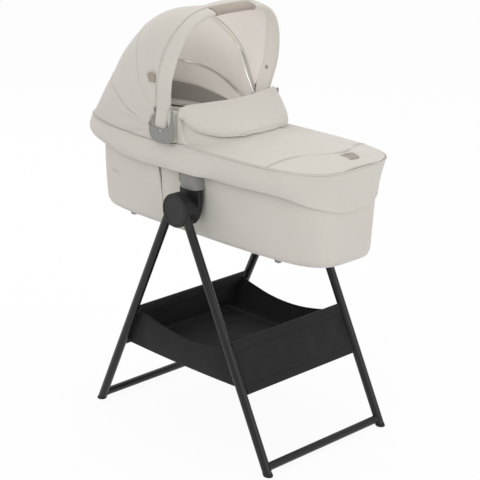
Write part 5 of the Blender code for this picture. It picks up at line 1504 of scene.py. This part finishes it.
def make_bow():
    """The padded bow in two sides, its buttons, the core and the leatherette grip with its stitching."""
    for side, word in SIDES:
        pad = capped(f"bow_pad_{word}", bow_half(side), cream(), "hood_bow")
        puff(pad, 0.0012, 0.004, 3.0)
        if side < 0:
            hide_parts("hood_bow")
        smoothed(f"bow_button_{word}", grey_moulding(), 30)
    angles = np.linspace(-GRIP_SPREAD, GRIP_SPREAD, 41)
    grip = capped("grip_cover", bow_sections(angles, points=36), tan_leather(), "hood_bow", "leatherette")
    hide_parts("carry_grip")
    core = bow_sections(np.linspace(-GRIP_SPREAD - 2, GRIP_SPREAD + 2, 21), -0.006)
    capped("bow_core", core, cream(), "hood_bow")
    raised = bow_sections(angles, 0.0007, 36)
    stitches("grip_end_stitches", [raised[1], raised[-2]], thread(), "hood_bow", True, "leatherette")
    stitches("grip_seam_stitches", raised[1:-1, GRIP_SEAM], thread(), "hood_bow", slot="leatherette")


# Mattress


def make_mattress():
    """The mattress in its cover, filled and edged with piping."""
    low, thick, crown = TUB_BOTTOM + TUB_WALL + 0.0046, 0.032, 0.006
    inset = TUB_ROUNDING * 0.62 + 0.004 + TUB_WALL
    rings = [outset(tub_ring(low + thick * share), -inset - pull) for share, pull in MATTRESS_EDGE]
    lifts = [low + thick + crown * lift for lift in (0.45, 0.7, 0.85, 0.95, 0.99, 1.0)]
    rings += shrunk(rings[-1], (0.86, 0.72, 0.55, 0.40, 0.25, 0.12), lifts)
    cover = capped("mattress_cover", np.array(rings), lining_cloth(), "carrycot")
    puff(cover, 0.004, 0.006, 4.0)
    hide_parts("mattress")
    lines = [outset(rings[0], -0.001) + (0, 0, 0.001), outset(rings[6], 0.0035)]
    piping("mattress_piping", lines, cream(), "carrycot", MATTRESS_RADIUS, True)


# Stage


def backdrop(name, colour, shade):
    """Plain floor: its shadow stays, and to the eye and in gloss it is mixed towards plain white."""
    made = put(bpy.data.materials.new(name), use_nodes=True)
    net = Net(made.node_tree)
    shader = made.node_tree.nodes["Principled BSDF"]
    place = net.node("ShaderNodeTexCoord", take=3)
    net.feed(shader.inputs["Base Color"], net.tones(net.noise(place, 1.5, 3.0), colour, 0.99, 1.0))
    shader.inputs["Roughness"].default_value = 0.9
    light = net.node("ShaderNodeEmission", None, Color=(1, 1, 1, 1), Strength=1.0)
    rays = "Is Camera Ray", "Is Glossy Ray", "Is Transmission Ray"
    net.white_when_seen(shader, light, rays, shade, "Material Output")
    return made


def lamp(name, kind, place, **settings):
    """A lamp that looks at the carrycot's middle."""
    made = linked(name, put(bpy.data.lights.new(name, kind), **settings))
    made.location = place
    made.rotation_euler = (Vector((HUB_X, 0, 0.65)) - made.location).to_track_quat("-Z", "Y").to_euler()
    return made


def make_stage():
    """Pale floor, soft studio light and the photograph's camera."""
    scene = bpy.context.scene
    settings = scene.carrycot_stage
    scene.view_settings.view_transform = "Standard"
    net = bmesh.new()
    bmesh.ops.create_grid(net, x_segments=2, y_segments=2, size=14)
    mesh = bpy.data.meshes.new("studio_floor")
    net.to_mesh(mesh)
    net.free()
    mesh.transform(Matrix.Translation((0, 0, -0.0005)))
    mesh.materials.append(backdrop("studio floor", (0.86, 0.86, 0.86), settings.floor_white))
    linked("studio_floor", mesh)
    make_world(scene, settings)
    turn = math.radians(CAMERA_AZIMUTH)
    right = Vector((math.cos(turn), math.sin(turn), 0))
    front = Vector((math.sin(turn), -math.cos(turn), 0))
    for name, (ahead, aside, rise, size) in AREA_LAMPS.items():
        place = Vector((HUB_X, 0, 0.6 + rise)) + front * ahead + right * aside
        lamp(f"{name}_light", "AREA", place, shape="DISK", size=size, energy=getattr(settings, name))
    inside = lamp("hood_light", "POINT", HOOD_LAMP_PLACE, energy=settings.hood, shadow_soft_size=0.06)
    inside.visible_camera = False
    make_camera(scene, right)


def make_world(scene, settings):
    """An even pale light from all round, and plain white where the eye or a reflection meets it."""
    world = put(bpy.data.worlds.new("studio"), use_nodes=True)
    net = Net(world.node_tree)
    even = world.node_tree.nodes["Background"]
    even.inputs["Color"].default_value = (1, 1, 1, 1)
    even.inputs["Strength"].default_value = settings.sky
    white = net.node("ShaderNodeBackground", None, Color=(1, 1, 1, 1), Strength=1.0)
    net.white_when_seen(even, white, ("Is Camera Ray", "Is Transmission Ray"), 1.0, "World Output")
    scene.world = world


def make_camera(scene, right):
    """The photograph's camera, placed from the turn, height and lens worked out from it."""
    turn, rise = math.radians(CAMERA_AZIMUTH), math.radians(CAMERA_ELEVATION)
    back = Vector((math.sin(turn) * math.cos(rise), -math.cos(turn) * math.cos(rise), math.sin(rise)))
    up = back.cross(right)
    target = Vector((HUB_X, 0, CAMERA_AIM)) + right * CAMERA_SHIFT_RIGHT + up * CAMERA_SHIFT_UP
    data = put(bpy.data.cameras.new("camera"), lens=CAMERA_LENS, sensor_width=CAMERA_SENSOR)
    scene.camera = linked("camera", data)
    place = Matrix((right, up, back)).transposed().to_4x4()
    place.translation = target + back * CAMERA_DISTANCE
    scene.camera.matrix_world = place


# Settings that a user would change


def colour_setting(name, description, colour):
    return bpy.props.FloatVectorProperty(
        name=name, description=description, subtype="COLOR", size=3, min=0, max=1, default=colour
    )


def size_setting(name, description, default, least, most):
    return bpy.props.FloatProperty(
        name=name, description=description, unit="LENGTH", default=default, min=least, max=most
    )


def light_setting(name, description, default):
    return bpy.props.FloatProperty(name=name, description=description, default=default, min=0)


class CarrycotCloth(bpy.types.PropertyGroup):
    """Colours and sewing sizes of the soft pieces"""

    outer: colour_setting("Outer cloth", "Cream cloth of the tub, rim, apron and hood", srgb(210, 205, 197))
    lining: colour_setting("Lining", "Warm cloth inside the hood and the tub", srgb(225, 220, 215))
    basket: colour_setting("Basket cloth", "Woven cloth of the basket", srgb(36, 36, 37))
    leather: colour_setting("Leatherette", "Grip, patch and tag", srgb(172, 160, 147))
    mesh: colour_setting("Window mesh", "Fine mesh of the hood's window", srgb(160, 158, 152))
    stitch: size_setting("Stitch", "Length of one stitch", 0.0034, 0.002, 0.008)
    piping: size_setting("Rim piping", "Radius of the piping on the rim's seam", 0.0016, 0.001, 0.004)


class CarrycotHard(bpy.types.PropertyGroup):
    """Colours of the hard pieces"""

    tube: colour_setting("Tube", "Powder coat on the legs and bars", srgb(27, 27, 28))
    black: colour_setting("Black moulding", "Hubs, adapters and caps", srgb(27, 27, 28))
    grey: colour_setting("Grey moulding", "Receivers, hood joints and buttons", srgb(138, 137, 134))


class CarrycotStage(bpy.types.PropertyGroup):
    """Light and floor of the studio"""

    key: light_setting("Key", "Power of the key light", 26)
    fill: light_setting("Fill", "Power of the fill light", 26)
    top: light_setting("Top", "Power of the top light", 22)
    back: light_setting("Back", "Power of the back light", 12)
    hood: light_setting("Hood", "Power of the small lamp inside the hood", 0.6)
    sky: light_setting("Sky", "Strength of the even light from all round", 0.77)
    floor_white: bpy.props.FloatProperty(
        name="Floor white", description="How far the floor is mixed to white", subtype="FACTOR",
        default=0.93, min=0, max=1,
    )


# Operators


class CARRYCOT_OT_stand(bpy.types.Operator):
    """Finish the legs, bars, rods, hubs and adapters"""

    bl_idname = "carrycot.stand"
    bl_label = "Stand"

    def execute(self, context):
        make_stand()
        return {"FINISHED"}


class CARRYCOT_OT_basket(bpy.types.Operator):
    """Sew the basket on its rods"""

    bl_idname = "carrycot.basket"
    bl_label = "Basket"

    def execute(self, context):
        make_basket()
        return {"FINISHED"}


class CARRYCOT_OT_tub(bpy.types.Operator):
    """Cover and line the tub"""

    bl_idname = "carrycot.tub"
    bl_label = "Tub"

    def execute(self, context):
        make_tub()
        return {"FINISHED"}


class CARRYCOT_OT_mattress(bpy.types.Operator):
    """Fill the mattress"""

    bl_idname = "carrycot.mattress"
    bl_label = "Mattress"

    def execute(self, context):
        make_mattress()
        return {"FINISHED"}


class CARRYCOT_OT_rim(bpy.types.Operator):
    """Sew the padded skirt round the rim"""

    bl_idname = "carrycot.rim"
    bl_label = "Rim"

    def execute(self, context):
        make_rim()
        return {"FINISHED"}


class CARRYCOT_OT_apron(bpy.types.Operator):
    """Lay the apron over the foot end"""

    bl_idname = "carrycot.apron"
    bl_label = "Apron"

    def execute(self, context):
        make_apron()
        return {"FINISHED"}


class CARRYCOT_OT_flap(bpy.types.Operator):
    """Fill the wind flap"""

    bl_idname = "carrycot.flap"
    bl_label = "Wind flap"

    def execute(self, context):
        make_flap()
        return {"FINISHED"}


class CARRYCOT_OT_hood(bpy.types.Operator):
    """Sew the hood on its ribs"""

    bl_idname = "carrycot.hood"
    bl_label = "Hood"

    def execute(self, context):
        make_hood()
        return {"FINISHED"}


class CARRYCOT_OT_bow(bpy.types.Operator):
    """Pad the bow and sew its grip"""

    bl_idname = "carrycot.bow"
    bl_label = "Bow"

    def execute(self, context):
        make_bow()
        return {"FINISHED"}


class CARRYCOT_OT_stage(bpy.types.Operator):
    """Set the floor, light and camera"""

    bl_idname = "carrycot.stage"
    bl_label = "Stage"

    def execute(self, context):
        make_stage()
        return {"FINISHED"}


STEPS = (
    CARRYCOT_OT_stand,
    CARRYCOT_OT_basket,
    CARRYCOT_OT_tub,
    CARRYCOT_OT_mattress,
    CARRYCOT_OT_rim,
    CARRYCOT_OT_apron,
    CARRYCOT_OT_flap,
    CARRYCOT_OT_hood,
    CARRYCOT_OT_bow,
    CARRYCOT_OT_stage,
)
SETTINGS = {"carrycot_cloth": CarrycotCloth, "carrycot_hard": CarrycotHard, "carrycot_stage": CarrycotStage}


class CARRYCOT_PT_pieces(bpy.types.Panel):
    """The pieces in the order in which they are made"""

    bl_idname = "CARRYCOT_PT_pieces"
    bl_label = "Carrycot stand"
    bl_space_type = "VIEW_3D"
    bl_region_type = "UI"
    bl_category = "Carrycot"

    def draw(self, context):
        for group, kind in SETTINGS.items():
            box = self.layout.box()
            for label in kind.__annotations__:
                box.prop(getattr(context.scene, group), label)
        for step in STEPS:
            self.layout.operator(step.bl_idname)


def register():
    for kind in (*SETTINGS.values(), *STEPS, CARRYCOT_PT_pieces):
        bpy.utils.register_class(kind)
    for group, kind in SETTINGS.items():
        setattr(bpy.types.Scene, group, bpy.props.PointerProperty(type=kind))


def unregister():
    for group in SETTINGS:
        delattr(bpy.types.Scene, group)
    for kind in (CARRYCOT_PT_pieces, *STEPS, *SETTINGS.values()):
        bpy.utils.unregister_class(kind)


def main():
    register()
    for step in STEPS:
        family, name = step.bl_idname.split(".")
        getattr(getattr(bpy.ops, family), name)()


if __name__ == "__main__":
    main()
